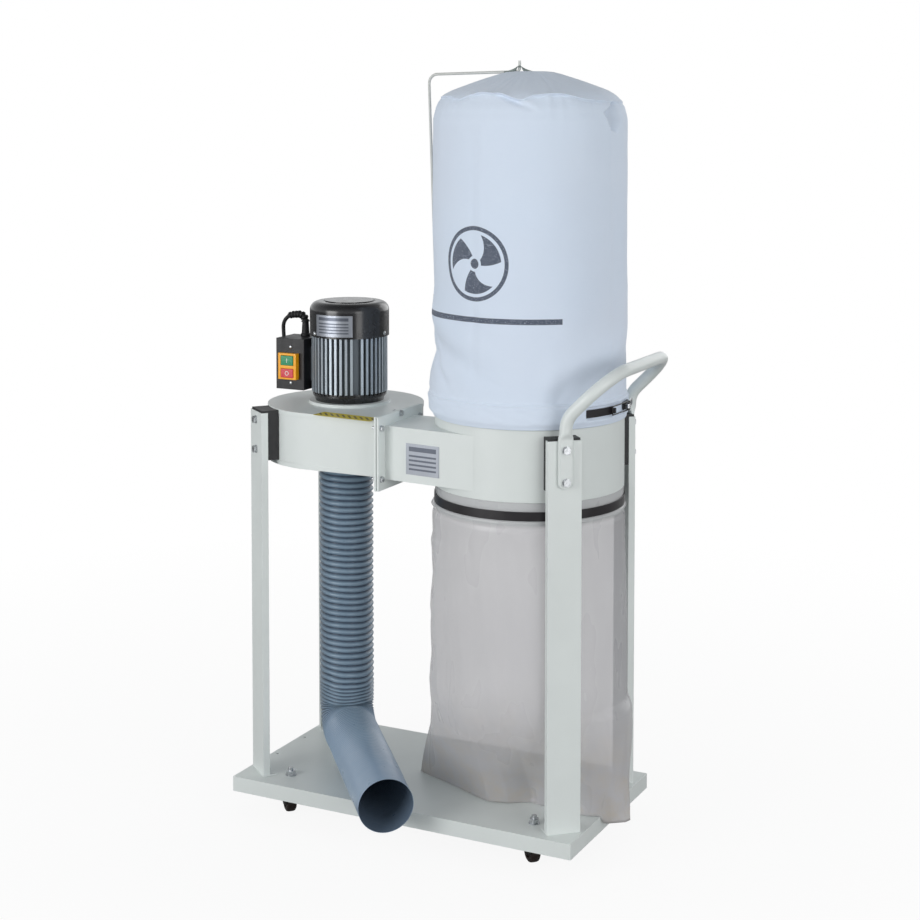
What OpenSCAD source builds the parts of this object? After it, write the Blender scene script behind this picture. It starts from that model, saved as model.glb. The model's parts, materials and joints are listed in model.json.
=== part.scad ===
// Mobile dust collector: one frame on casters, a fan housing with its motor, a separator drum
// with a cloth filter bag above and a film collection bag below, and a flexible suction hose.
// Millimetres. Origin on the floor under the middle of the base tray, +X towards the bags,
// +Y towards the back, +Z up.

/* [Base tray] */
// Length of the base tray along X
tray_l = 740; // [730:5:780]
// Depth of the base tray along Y
tray_w = 394; // [392:2:420]
// Height of the tray's top face above the floor
tray_z = 78; // [77:1:84]
// Depth of the tray's folded edge
tray_edge = 30; // [20:1:34]
// Distance between the two small holes at the tray's end
tray_hole_pitch = 108; // [90:1:140]
// Thickness of all sheet metal
sheet = 2; // [1.5:0.5:2]

/* [Casters] */
// Wheel radius
wheel_r = 22; // [20:0.5:22]
// Wheel width
wheel_w = 20; // [16:1:22]
// Distance from the swivel axis back to the axle
trail = 10; // [6:1:14]
// Distance of the swivels from the tray's middle, along X
caster_x = 270; // [250:1:280]
// Distance of the swivels from the tray's middle, along Y
caster_y = 137; // [120:1:145]
// Direction in which the casters trail at rest
caster_yaw = 46; // [0:1:360]

/* [Legs] */
// Width of a leg's outer face
leg_w = 66; // [60:1:70]
// Depth of a leg's flanges
leg_d = 14; // [10:1:14]
// Height of the legs above the tray
leg_h = 740; // [735:1:745]
// Angle of the drum legs, either side of +X about the drum axis
drum_leg_angle = 47.8; // [46:0.2:50]
// Angle of the housing legs, either side of -X about the housing axis
housing_leg_angle = 51.6; // [50:0.2:54]
// Radius of the leg bolts
bolt_r = 4; // [3.5:0.1:4]

/* [Separator drum] */
// Drum axis, along X
drum_x = 195.7; // [190:0.1:200]
// Outer radius of the drum
drum_r = 185; // [184:0.5:186]
// Height of the drum's wall
drum_h = 135.5; // [130:0.5:140]
// Height of the drum's lower edge above the tray
drum_lift = 619.5; // [617:0.5:622]
// Height of the collars that the bags fit over
collar_h = 44.5; // [42:0.5:46]

/* [Fan housing] */
// Housing axis, along X
housing_x = -217.9; // [-222:0.1:-214]
// Outer radius of the housing
housing_r = 160; // [158:0.5:162]
// Height of the housing
housing_h = 112; // [108:1:116]
// Height of the housing's lower face above the tray
housing_lift = 634; // [630:1:638]
// Length of the outlet flange, along Y
flange_l = 179; // [176:1:182]
// Height of the outlet flange
flange_h = 144; // [140:1:148]

/* [Motor] */
// Motor axis, along X
motor_x = -209; // [-212:0.5:-206]
// Radius over the cooling fins
fin_r = 77.5; // [76:0.5:78]
// Number of cooling fins
fins = 44; // [36:4:48]
// Radius of the fan cowl
cowl_r = 81; // [80:0.1:82]
// Height of the fan cowl
cowl_h = 71; // [68:1:76]
// Radius of the impeller
impeller_r = 130; // [120:1:134]
// Number of impeller blades
blades = 8; // [6:1:10]

/* [Hose] */
// Bore radius of the hose
hose_bore = 50.5; // [50:0.5:51]
// Outer radius of the ribbed hose
hose_r = 53.5; // [53:0.5:54]
// Radius of the hose's bend, to its centre line
hose_bend_r = 58; // [57:1:70]
// Direction of the hose's lower end, from -Y towards +X
hose_yaw = 41; // [36:1:44]
// Reach of the hose's mouth from the inlet axis
hose_reach = 384; // [360:1:390]

/* [Bags] */
// Radius of the filter bag
bag_r = 187.8; // [187.5:0.1:188]
// Height of the filter bag's shoulder above the drum
bag_h = 615; // [600:1:630]
// Height of the bag's dome above its shoulder
dome_h = 45; // [40:1:46]

/* [Handle] */
// Radius of the handle's tube
handle_r = 12; // [11:0.5:12.5]
// Distance of the grip from the drum axis, along X
grip_x = 234; // [225:1:240]
// Height of the grip above the tray
grip_lift = 867; // [850:1:880]

/* [Hidden] */
$fn = 96;

painted = "gainsboro";
bolt_gap = 0.5;          // hole over bolt, on the radius
touch = 0.1;             // gap between pieces that rest on each other
run = 0.05;              // running clearance on the radius

drum_z = tray_z + drum_lift;
drum_top = drum_z + drum_h;
housing_z = tray_z + housing_lift;
housing_top_z = housing_z + housing_h;
drum_leg_r = drum_r + 28.9;
housing_leg_r = housing_r + 34.3;
leg_bolt_z = [tray_z + leg_h - 76.5, tray_z + leg_h - 16.5];
spacer_h = 100;
spacer_z = tray_z + leg_h + 4 - spacer_h;
handle_flat = 8;         // thickness of the handle's flattened ends

duct_mid = housing_z + 51.5;
duct_h = 105;
flange_x = -46;          // face of the housing's flange
flange_t = 4;
gasket_t = 2;
flange_y = -190;         // front edge of the flanges
duct_x = flange_x + 2 * flange_t + gasket_t;
outlet_front = -housing_r;
outlet_back = -36;
duct_end_x = 172;
duct_end_y = -183.06;

lid_rim = 9;
rim_t = 1;
boss_h = 6;
motor_z = housing_top_z + boss_h;
bell_h = 19;
body_h = 114;
cowl_z = motor_z + bell_h + body_h;
core_r = 66;
shaft_r = 9.5;
bearing_r = 20;
bearing_h = 12;
shaft_end = housing_z + 40;
lower_bearing_z = motor_z + 5;
upper_bearing_z = cowl_z - 14;

hose_x = housing_x;
spigot_h = 40;
hose_cut_z = tray_z + 330;
hose_low_z = tray_z + 75;    // centre line of the lower run, carried back to the inlet axis
mouth_z = tray_z + 45;       // centre line at the mouth
cuff_l = 60;
hose_inner = hose_bore + 1.2;   // bore behind the plain mouth
run_step = 0.5;                 // the lower run is this much slimmer than the bend it starts in

box_x = -321.5;
box_w = 66;
box_front = -50;
box_d = 70;
box_h = 105;
box_z = housing_top_z + 24;
button_y = box_front - 13;

strap_h = 17;
upper_strap_z = drum_top + 18;
lower_strap_z = drum_z - 34.5;
lower_bag_r = 184;
hose_pitch = atan((hose_low_z - mouth_z) / hose_reach);

// ---------- helpers ----------

function unit(v) = v / norm(v);

// Arc of the given radius that rounds the corner p1 between p0 and p2
function corner(p0, p1, p2, r, steps) =
  let (a = unit(p0 - p1), b = unit(p2 - p1), half = acos(a * b) / 2,
       c = p1 + unit(a + b) * r / sin(half),
       u = unit(p1 + a * r / tan(half) - c),
       w = unit(p1 + b * r / tan(half) - c - u * (u * (p1 + b * r / tan(half) - c))),
       turn = 180 - 2 * half)
  [for (k = [0:steps]) c + r * (u * cos(turn * k / steps) + w * sin(turn * k / steps))];

function tangent(p, i) = unit(p[min(i + 1, len(p) - 1)] - p[max(i - 1, 0)]);

function power(v, e) = sign(v) * pow(abs(v), e);

// Ring of n points round p[i]. size holds the half width, the half thickness, the exponent
// of the outline (1 is an ellipse) and the turn of the outline in degrees.
function section(p, i, size, ref, n) =
  let (t = tangent(p, i), s = unit(cross(t, ref)), u = cross(s, t))
  [for (k = [0:n - 1])
    let (x = size[0] * power(cos(360 * k / n), size[2]),
         y = size[1] * power(sin(360 * k / n), size[2]))
    p[i] + s * (x * cos(size[3]) - y * sin(size[3])) + u * (x * sin(size[3]) + y * cos(size[3]))];

// Solid swept along p, with one outline size for each point
module sweep(p, sizes, ref, n) {
  m = len(p);
  points = [for (i = [0:m - 1]) each section(p, i, sizes[i], ref, n)];
  sides = [for (i = [0:m - 2]) for (k = [0:n - 1])
    [i * n + k, i * n + (k + 1) % n, (i + 1) * n + (k + 1) % n, (i + 1) * n + k]];
  first = [[for (k = [n - 1:-1:0]) k]];
  last = [[for (k = [0:n - 1]) (m - 1) * n + k]];
  polyhedron(points, concat(sides, first, last));
}

module tube(r_out, r_in, h) {
  difference() {
    cylinder(r = r_out, h = h);
    translate([0, 0, -1]) cylinder(r = r_in, h = h + 2);
  }
}

module box(x0, x1, y0, y1, z0, z1) {
  translate([x0, y0, z0]) cube([x1 - x0, y1 - y0, z1 - z0]);
}

module hex(af, h) {
  cylinder(r = af / sqrt(3), h = h, $fn = 6);
}

// Hexagon bolt along +Z from the seat under its head: washer, head below, shank above
module bolt(r, l, washer) {
  translate([0, 0, -washer]) cylinder(r = 2 * r, h = washer);
  translate([0, 0, -washer - 1.3 * r]) hex(3.25 * r, 1.3 * r);
  cylinder(r = r, h = l);
}

module nut(r) {
  difference() {
    hex(3.25 * r, 1.6 * r);
    translate([0, 0, -1]) cylinder(r = r + run, h = 1.6 * r + 2);
  }
}

// ---------- base ----------

module base_tray() {
  color(painted) difference() {
    box(-tray_l / 2, tray_l / 2, -tray_w / 2, tray_w / 2, tray_z - tray_edge, tray_z);
    box(-tray_l / 2 + sheet, tray_l / 2 - sheet, -tray_w / 2 + sheet, tray_w / 2 - sheet,
        tray_z - tray_edge - 1, tray_z - sheet);
    for (x = [-caster_x, caster_x], y = [-caster_y, caster_y])
      translate([x, y, tray_z - 10]) cylinder(r = 5 + bolt_gap, h = 20);
    for (y = [-tray_hole_pitch / 2, tray_hole_pitch / 2])
      translate([-tray_l / 2 + 13, y + 5, tray_z - 10]) cylinder(r = 3, h = 20);
    at_legs() translate([-sheet - 16, 0, tray_z - 10]) cylinder(r = bolt_r + bolt_gap, h = 20);
  }
}

// Repeats its child at each leg, +X pointing out and x = 0 on the leg's outer face
module at_legs() {
  for (side = [-1, 1]) {
    at_drum_leg(side) children();
    at_housing_leg(side) children();
  }
}

module at_drum_leg(side) {
  translate([drum_x, 0, 0]) rotate([0, 0, side * drum_leg_angle])
    translate([drum_leg_r, 0, 0]) children();
}

module at_housing_leg(side) {
  translate([housing_x, 0, 0]) rotate([0, 0, 180 - side * housing_leg_angle])
    translate([housing_leg_r, 0, 0]) children();
}

module leg() {
  foot_z = tray_z + touch / 2;
  color(painted) difference() {
    union() {
      box(-sheet, 0, -leg_w / 2, leg_w / 2, foot_z, tray_z + leg_h);
      for (y = [-leg_w / 2, leg_w / 2 - sheet])
        box(-leg_d, 0, y, y + sheet, foot_z, tray_z + leg_h);
      box(-30, 0, -leg_w / 2, leg_w / 2, foot_z, foot_z + sheet);
    }
    for (z = leg_bolt_z)
      translate([-10, 0, z]) rotate([0, 90, 0]) cylinder(r = bolt_r + bolt_gap, h = 20);
    translate([-sheet - 16, 0, tray_z - 1]) cylinder(r = bolt_r + bolt_gap, h = 10);
  }
}

module leg_front_left() { at_housing_leg(-1) leg(); }
module leg_back_left() { at_housing_leg(1) leg(); }
module leg_front_right() { at_drum_leg(-1) leg(); }
module leg_back_right() { at_drum_leg(1) leg(); }

// Block between a leg and a round wall whose surface is gap inside the leg's outer face
module spacer(gap, wall_r) {
  difference() {
    box(-gap - 10, -sheet - touch, -leg_w / 2 + sheet + 0.3, leg_w / 2 - sheet - 0.3,
        spacer_z, spacer_z + spacer_h);
    translate([-gap - wall_r, 0, spacer_z - 1])
      cylinder(r = wall_r + touch, h = spacer_h + 2, $fn = 180);
    for (z = leg_bolt_z)
      translate([-60, 0, z]) rotate([0, 90, 0]) cylinder(r = bolt_r + bolt_gap, h = 80);
    box(-gap + 8, -sheet - 5, -leg_w / 2 + 9, leg_w / 2 - 9, leg_bolt_z[0] + 12, leg_bolt_z[1] - 12);
  }
}

module leg_spacers() {
  color("black") for (side = [-1, 1]) {
    at_drum_leg(side) spacer(drum_leg_r - drum_r, drum_r);
    at_housing_leg(side) spacer(housing_leg_r - housing_r, housing_r);
  }
}

module leg_bolts() {
  color("silver") for (side = [-1, 1], z = leg_bolt_z) {
    at_drum_leg(side) translate([handle_flat + 2 * touch, 0, z]) rotate([0, -90, 0])
      bolt(bolt_r, handle_flat + drum_leg_r - drum_r + 12, 1.6);
    at_housing_leg(side) translate([touch, 0, z]) rotate([0, -90, 0])
      bolt(bolt_r, housing_leg_r - housing_r + 13, 1.6);
  }
}

module leg_nuts() {
  color("silver") for (side = [-1, 1], z = leg_bolt_z) {
    at_drum_leg(side) translate([drum_r - drum_leg_r - sheet - 0.4, 0, z]) rotate([0, -90, 0])
      nut(bolt_r);
    at_housing_leg(side) translate([housing_r - housing_leg_r - sheet - rim_t - 0.5, 0, z])
      rotate([0, -90, 0]) nut(bolt_r);
  }
}

module foot_bolts() {
  color("silver") at_legs() translate([-sheet - 16, 0, tray_z + sheet + touch]) {
    mirror([0, 0, 1]) bolt(bolt_r, 16, 0.8);
    translate([0, 0, -2 * sheet - 2 * touch - 1.6 * bolt_r]) nut(bolt_r);
  }
}

// ---------- casters ----------

crown_z = tray_z - 28;
crown_h = 6;
fork_gap = 1;
fork_t = 2;

module at_caster(x, y) {
  translate([x * caster_x, y * caster_y, 0]) rotate([0, 0, caster_yaw]) children();
}

module caster_stems() {
  color("silver") for (x = [-1, 1], y = [-1, 1]) at_caster(x, y) {
    translate([0, 0, crown_z - 4]) cylinder(r = 8, h = 4 - run);
    translate([0, 0, crown_z - 1]) cylinder(r = 5, h = 28 + 1 + 16);
    translate([0, 0, crown_z + crown_h + run])
      cylinder(r = 12, h = tray_z - sheet - touch - crown_z - crown_h - run);
    translate([0, 0, tray_z + touch]) tube(11, 5 + run, 1.5);
    translate([0, 0, tray_z + 2 * touch + 1.5]) difference() {
      hex(17, 8);
      translate([0, 0, -1]) cylinder(r = 5 + run, h = 10);
    }
  }
}

module fork() {
  color("dimgray") difference() {
    union() {
      translate([0, 0, crown_z]) cylinder(r = 15, h = crown_h);
      for (s = [-1, 1]) {
        x0 = s > 0 ? wheel_w / 2 + fork_gap : -wheel_w / 2 - fork_gap - fork_t;
        box(x0, x0 + fork_t, -10, trail + 8, wheel_r, crown_z + crown_h);
        translate([x0, trail, wheel_r]) rotate([0, 90, 0]) cylinder(r = 8, h = fork_t);
      }
      translate([-wheel_w / 2 - fork_gap - fork_t - 1.5, trail, wheel_r]) rotate([0, 90, 0])
        cylinder(r = 3, h = wheel_w + 2 * fork_gap + 2 * fork_t + 3);
    }
    translate([0, 0, crown_z - 1]) cylinder(r = 5 + run, h = crown_h + 2);
  }
}

module wheel() {
  color("black") translate([0, trail, wheel_r]) rotate([0, 90, 0])
    rotate_extrude() polygon([
      [3 + run, -wheel_w / 2], [9, -wheel_w / 2], [9, -wheel_w / 2 + 2], [13, -wheel_w / 2 + 2],
      [13, -wheel_w / 2], [wheel_r - 4, -wheel_w / 2], [wheel_r - 1, -wheel_w / 2 + 2],
      [wheel_r, -wheel_w / 2 + 6], [wheel_r, wheel_w / 2 - 6], [wheel_r - 1, wheel_w / 2 - 2],
      [wheel_r - 4, wheel_w / 2], [13, wheel_w / 2], [13, wheel_w / 2 - 2],
      [9, wheel_w / 2 - 2], [9, wheel_w / 2], [3 + run, wheel_w / 2]]);
}

module fork_front_left() { at_caster(-1, -1) fork(); }
module fork_front_right() { at_caster(1, -1) fork(); }
module fork_back_left() { at_caster(-1, 1) fork(); }
module fork_back_right() { at_caster(1, 1) fork(); }
module wheel_front_left() { at_caster(-1, -1) wheel(); }
module wheel_front_right() { at_caster(1, -1) wheel(); }
module wheel_back_left() { at_caster(-1, 1) wheel(); }
module wheel_back_right() { at_caster(1, 1) wheel(); }

// ---------- push handle ----------

strap_end_r = drum_leg_r + touch + handle_flat / 2;
hx = strap_end_r * cos(drum_leg_angle);
hy = strap_end_r * sin(drum_leg_angle);
flat_z = tray_z + leg_h - 88;
round_z = tray_z + leg_h + 15;
bend_z = tray_z + leg_h + 40;
grip_z = tray_z + grip_lift;

handle_half = concat(
  [for (d = [0, 1, 3, 7, 14]) [hx, -hy, flat_z + d]],
  [for (z = [flat_z + 50, tray_z + leg_h + 2, tray_z + leg_h + 7, tray_z + leg_h + 11, round_z])
    [hx, -hy, z]],
  corner([hx, -hy, round_z], [hx, -hy, bend_z], [grip_x, -hy, grip_z], 50, 6),
  corner([hx, -hy, bend_z], [grip_x, -hy, grip_z], [grip_x, 0, grip_z], 75, 10));
flatness = concat([1, 1, 1, 1, 1], [1, 1, 0.75, 0.3, 0], [for (k = [1:18]) 0]);
end_round = concat([0.35, 0.6, 0.8, 0.95, 1], [for (k = [1:23]) 1]);

function handle_size(i) = let (f = flatness[i]) [
  (handle_r + 2.7 * f) * end_round[i],
  handle_r + (handle_flat / 2 - handle_r) * f,
  1 - 0.55 * f,
  drum_leg_angle];

module push_handle() {
  half = handle_half;
  back = [for (i = [len(half) - 1:-1:0]) [half[i][0], -half[i][1], half[i][2]]];
  sizes = [for (i = [0:len(half) - 1]) handle_size(i)];
  back_sizes = [for (i = [len(half) - 1:-1:0]) handle_size(i)];
  color(painted) difference() {
    translate([drum_x, 0, 0]) sweep(concat(half, back), concat(sizes, back_sizes), [1, 0, -1], 28);
    for (side = [-1, 1], z = leg_bolt_z) at_drum_leg(side) translate([-5, 0, z])
      rotate([0, 90, 0]) cylinder(r = bolt_r + bolt_gap, h = 20);
  }
}

// ---------- separator drum and transfer duct ----------

module separator_drum() {
  color(painted) difference() {
    translate([drum_x, 0, drum_z]) rotate_extrude($fn = 180) polygon([
      [drum_r - 5, -collar_h], [drum_r + 1, -collar_h], [drum_r + 1, -collar_h + 8],
      [drum_r - 3, -collar_h + 8], [drum_r - 3, 0], [drum_r, 0], [drum_r, drum_h],
      [drum_r - 3, drum_h], [drum_r - 3, drum_h + collar_h], [drum_r - 5, drum_h + collar_h],
      [drum_r - 5, drum_h - sheet], [drum_r - sheet, drum_h - sheet],
      [drum_r - sheet, sheet], [drum_r - 5, sheet]]);
    box(0, drum_x - 70, -165, outlet_back - sheet,
        duct_mid - duct_h / 2 + sheet, duct_mid + duct_h / 2 - sheet);
    for (side = [-1, 1], z = leg_bolt_z) at_drum_leg(side) translate([-40, 0, z])
      rotate([0, 90, 0]) cylinder(r = bolt_r + bolt_gap, h = 20);
  }
  color(painted) translate([drum_x, 0, 0]) rotate([0, 0, 180]) rod_socket();
}

// Tube welded to a lug on the drum's wall, for the hanger rod
socket_r = drum_r + 8;
socket_angle = 1.6;

module rod_socket() {
  rotate([0, 0, socket_angle]) difference() {
    union() {
      translate([socket_r, 0, drum_top - 50]) cylinder(r = 6.5, h = 40);
      box(drum_r - 0.5, socket_r, -4, 4, drum_top - 50, drum_top - 10);
    }
    translate([socket_r, 0, drum_top - 46]) cylinder(r = 4.5, h = 60);
  }
}

module duct_outline(inset) {
  polygon([[duct_x - 6, outlet_front - 3 + inset], [duct_end_x, duct_end_y + inset],
    [duct_end_x, outlet_back - inset], [duct_x - 6, outlet_back - inset]]);
}

module flange_plate(x) {
  difference() {
    box(x, x + flange_t, flange_y, flange_y + flange_l, duct_mid - flange_h / 2,
        duct_mid + flange_h / 2);
    box(x - 1, x + flange_t + 1, outlet_front + 1, outlet_back - sheet,
        duct_mid - duct_h / 2 + sheet, duct_mid + duct_h / 2 - sheet);
    at_duct_bolts(x - 1) cylinder(r = 3 + bolt_gap, h = flange_t + 2);
  }
}

// Repeats its child at each flange bolt, with +Z along +X
module at_duct_bolts(x) {
  mid = flange_y + flange_l / 2;
  for (p = [[-79, 49.5], [-79, -49.5], [79, 49.5], [79, -49.5], [0, 67], [0, -63.5]])
    translate([x, mid + p[0], duct_mid + p[1]]) rotate([0, 90, 0]) children();
}

module transfer_duct() {
  color(painted) {
    difference() {
      union() {
        translate([0, 0, duct_mid - duct_h / 2]) linear_extrude(duct_h) difference() {
          duct_outline(0);
          translate([-100, -300]) square([100 + duct_x, 400]);
        }
      }
      translate([0, 0, duct_mid - duct_h / 2 + sheet]) linear_extrude(duct_h - 2 * sheet)
        duct_outline(sheet);
      translate([drum_x, 0, 0]) cylinder(r = drum_r + touch, h = 2000, $fn = 180);
    }
    flange_plate(duct_x - flange_t);
  }
}

module duct_gasket() {
  x = flange_x + flange_t;
  color("dimgray") difference() {
    box(x + touch / 2, x + gasket_t - touch / 2, flange_y + 3, flange_y + flange_l - 3,
        duct_mid - flange_h / 2 + 3, duct_mid + flange_h / 2 - 3);
    box(x - 1, x + gasket_t + 1, outlet_front, outlet_back,
        duct_mid - duct_h / 2, duct_mid + duct_h / 2);
    at_duct_bolts(x - 1) cylinder(r = 3 + bolt_gap, h = gasket_t + 2);
  }
}

module duct_bolts() {
  color("silver") {
    at_duct_bolts(duct_x + touch) mirror([0, 0, 1]) bolt(3, 18, 1.2);
    at_duct_bolts(flange_x - touch) mirror([0, 0, 1]) nut(3);
  }
}

// ---------- fan housing ----------

// Plan of the housing, drawn in by inset: a round chamber with a straight outlet
module housing_outline(inset, end) {
  translate([housing_x, 0]) circle(r = housing_r - inset, $fn = 180);
  translate([housing_x, outlet_front + inset])
    square([end - housing_x, outlet_back - outlet_front - 2 * inset]);
}

module fan_housing() {
  wall = rim_t + 0.1;
  color(painted) difference() {
    union() {
      translate([0, 0, housing_z + sheet + touch]) linear_extrude(housing_h - 2 * sheet - 2 * touch)
        difference() {
          housing_outline(wall, flange_x);
          housing_outline(wall + sheet, flange_x + 10);
        }
      flange_plate(flange_x);
    }
    for (side = [-1, 1], z = leg_bolt_z) at_housing_leg(side) translate([-60, 0, z])
      rotate([0, 90, 0]) cylinder(r = bolt_r + bolt_gap, h = 50);
  }
}

module housing_lid() {
  linear_extrude(sheet) housing_outline(0, flange_x - touch);
  linear_extrude(lid_rim) difference() {
    housing_outline(0, flange_x - touch);
    housing_outline(rim_t, flange_x + 10);
  }
}

module at_motor_bolts(z) {
  for (a = [45:90:315]) translate([motor_x, 0, z]) rotate([0, 0, a]) translate([50, 0, 0])
    children();
}

module housing_top() {
  color(painted) difference() {
    union() {
      translate([0, 0, housing_top_z]) mirror([0, 0, 1]) housing_lid();
      translate([motor_x, 0, housing_top_z - 1]) cylinder(r = 83, h = boss_h + 1);
    }
    translate([motor_x, 0, housing_top_z - 20]) cylinder(r = 13, h = 40);
    at_motor_bolts(housing_top_z - 20) cylinder(r = 3.5, h = 40);
  }
}

module housing_bottom() {
  color(painted) difference() {
    union() {
      translate([0, 0, housing_z]) housing_lid();
      translate([hose_x, 0, housing_z - spigot_h]) cylinder(r = hose_bore - 0.5, h = spigot_h + 1);
    }
    translate([hose_x, 0, housing_z - spigot_h - 1]) cylinder(r = hose_bore - 2, h = spigot_h + 10);
  }
}

// ---------- hose ----------

module hose_clamp() {
  z = housing_z - 16;
  color("silver") translate([hose_x, 0, z]) {
    tube(hose_r + 1.2, hose_r + touch, 10);
    translate([0, hose_r + 1, 0]) box(-9, 9, 0, 8, -1, 11);
    translate([-13, hose_r + 5, 5]) rotate([0, 90, 0]) cylinder(r = 3, h = 6);
  }
}

module hose_upper() {
  color("slategray") translate([hose_x, 0, hose_cut_z]) difference() {
    cylinder(r = hose_r, h = housing_z - touch - hose_cut_z);
    translate([0, 0, -1]) cylinder(r = hose_inner, h = 400);
  }
}

// Puts its children in the vertical plane of the lower hose: +X along its run, +Z up
module at_hose() {
  translate([hose_x, 0, 0]) rotate([0, 0, hose_yaw - 90]) children();
}

module at_mouth() {
  at_hose() translate([hose_reach, 0, mouth_z]) rotate([0, -90 + hose_pitch, 0]) children();
}

// Hanging part, bend and lower run of the hose; over lengthens both ends
module hose_run(r, over) {
  tangent_l = hose_bend_r / tan((90 + hose_pitch) / 2);
  bend_top = hose_low_z + tangent_l;
  run_l = norm([hose_reach, hose_low_z - mouth_z]) - tangent_l - cuff_l - touch;
  translate([0, 0, bend_top]) cylinder(r = r, h = hose_cut_z - 0.2 - bend_top + over);
  translate([hose_bend_r, 0, bend_top]) rotate([90, 0, 0]) rotate([0, 0, 180])
    rotate_extrude(angle = 90 - hose_pitch) translate([hose_bend_r, 0]) circle(r = r);
  translate([hose_bend_r * (1 - sin(hose_pitch)), 0, bend_top - hose_bend_r * cos(hose_pitch)])
    rotate([0, 90 + hose_pitch, 0]) translate([0, 0, -1]) cylinder(r = r - run_step, h = run_l + over + 1);
}

module hose_lower() {
  color("slategray") at_hose() difference() {
    hose_run(hose_r, 0);
    hose_run(hose_inner, 5);
  }
}

module hose_cuff() {
  color("slategray") at_mouth() tube(hose_r, hose_bore, cuff_l);
}

// ---------- motor ----------

wide_gap = round(fins * 38 / 44);    // the fin left out at the front; one more is left out at the box

module motor_body() {
  color("silver") difference() {
    union() {
      translate([motor_x, 0, motor_z + bell_h + touch]) {
        cylinder(r = core_r, h = body_h - 2 * touch);
        linear_extrude(body_h - 2 * touch) for (k = [0:fins - 1])
          if (k != fins / 2 && k != wide_gap) rotate(k * 360 / fins)
            translate([core_r - 1, -2.5]) square([fin_r - core_r + 1, 5]);
      }
      box(box_x + box_w / 2 + touch, motor_x - 52, -22, 40, box_z + 17, box_z + 87);
    }
    translate([motor_x, 0, motor_z]) cylinder(r = 58, h = bell_h + body_h - 16);
    translate([motor_x, 0, upper_bearing_z - 1]) cylinder(r = bearing_r + 0.02, h = 40);
    translate([motor_x, 0, motor_z]) cylinder(r = 14, h = 400);
  }
}

module motor_bell() {
  color("black") difference() {
    translate([motor_x, 0, motor_z + touch]) rotate_extrude() polygon([[13, 0], [70, 0],
      [71, 6], [75.5, 11], [75.5, bell_h - touch], [13, bell_h - touch]]);
    translate([motor_x, 0, lower_bearing_z]) cylinder(r = bearing_r + 0.02, h = 40);
    at_motor_bolts(motor_z - 5) cylinder(r = 3 + run, h = 20);
    for (k = [0:fins - 1]) translate([motor_x, 0, motor_z + bell_h - 4])
      rotate([0, 0, (k + 0.5) * 360 / fins]) translate([72, -2, 0]) cube([8, 4, 8]);
  }
}

module motor_bolts() {
  color("silver") at_motor_bolts(housing_top_z - sheet - touch) bolt(3, 16, 1);
}

module motor_cowl() {
  edge = 18;
  rise = 1.5;
  shoulder = cowl_h - rise;
  color("black") difference() {
    translate([motor_x, 0, cowl_z]) rotate_extrude() {
      difference() {
        union() {
          square([cowl_r, shoulder - edge]);
          square([cowl_r - edge, shoulder]);
          translate([cowl_r - edge, shoulder - edge]) circle(r = edge);
          square([50, cowl_h]);
        }
        translate([50, shoulder - 1]) square([3, 5]);
        translate([-1, -1]) square([cowl_r - 1.5 + 1, shoulder - edge + 1]);
        translate([-1, -1]) square([cowl_r - edge - 2 + 1, cowl_h - 5 + 1]);
        translate([-1, 0]) square([1, 200]);
      }
    }
    for (a = [0, 120, 240]) translate([motor_x, 0, cowl_z + 7]) rotate([0, 0, a])
      translate([60, 0, 0]) rotate([0, 90, 0]) cylinder(r = 2.6, h = 40);
  }
}

module cowl_screws() {
  color("silver") for (a = [0, 120, 240]) translate([motor_x, 0, cowl_z + 7])
    rotate([0, 0, a]) translate([cowl_r + touch, 0, 0]) rotate([0, 90, 0]) {
      rotate_extrude($fn = 32) polygon([[0, 0], [4.5, 0], [4, 1.6], [2.5, 2.6], [0, 2.8]]);
      translate([0, 0, -8]) cylinder(r = 2.5, h = 8);
    }
}

module stator() {
  color("sienna") translate([motor_x, 0, motor_z + 36]) tube(57.8, 38.5, 80);
}

module rotor_core() {
  color("gray") translate([motor_x, 0, motor_z + 36]) tube(37.5, shaft_r + 0.02, 80);
}

module motor_shaft() {
  color("silver") difference() {
    translate([motor_x, 0, shaft_end]) cylinder(r = shaft_r, h = cowl_z + 34 - shaft_end);
    translate([motor_x, 0, shaft_end - 1]) cylinder(r = 4.02, h = 26);
  }
}

module motor_bearings() {
  color("lightgray") for (z = [lower_bearing_z, upper_bearing_z])
    translate([motor_x, 0, z + touch]) tube(bearing_r, shaft_r + run, bearing_h);
}

module cooling_fan() {
  color("dimgray") translate([motor_x, 0, cowl_z + 12]) difference() {
    union() {
      cylinder(r = 16, h = 20);
      cylinder(r = 66, h = 2);
      for (k = [0:6]) rotate([0, 0, k * 360 / 7]) translate([14, -1, 0]) cube([52, 2, 18]);
    }
    translate([0, 0, -1]) cylinder(r = shaft_r + 0.02, h = 40);
  }
}

module impeller() {
  top = housing_top_z - 14;
  color("gray") difference() {
    union() {
      translate([motor_x, 0, top - 3]) cylinder(r = impeller_r, h = 3);
      translate([motor_x, 0, shaft_end]) cylinder(r = 24, h = top - shaft_end);
      for (k = [0:blades - 1]) translate([motor_x, 0, top - 68]) rotate([0, 0, k * 360 / blades])
        translate([20, -1.5, 0]) cube([impeller_r - 23, 3, 67]);
    }
    translate([motor_x, 0, shaft_end - 1]) cylinder(r = shaft_r + 0.02, h = 200);
  }
}

module impeller_bolt() {
  color("silver") translate([motor_x, 0, shaft_end - touch]) {
    translate([0, 0, -3]) cylinder(r = 16, h = 3);
    translate([0, 0, -9]) hex(13, 6);
    cylinder(r = 4, h = 20);
  }
}

// ---------- switch ----------

bezel_w = 43;
bezel_h = 54;
bezel_z = box_z + 49;
button_w = 29;
on_h = 19.5;
off_h = 18;
on_z = bezel_z + 12.2;
off_z = bezel_z - 14;
screw_x = box_x + 2;
screw_z = [box_z + 14, box_z + box_h - 17];

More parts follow.
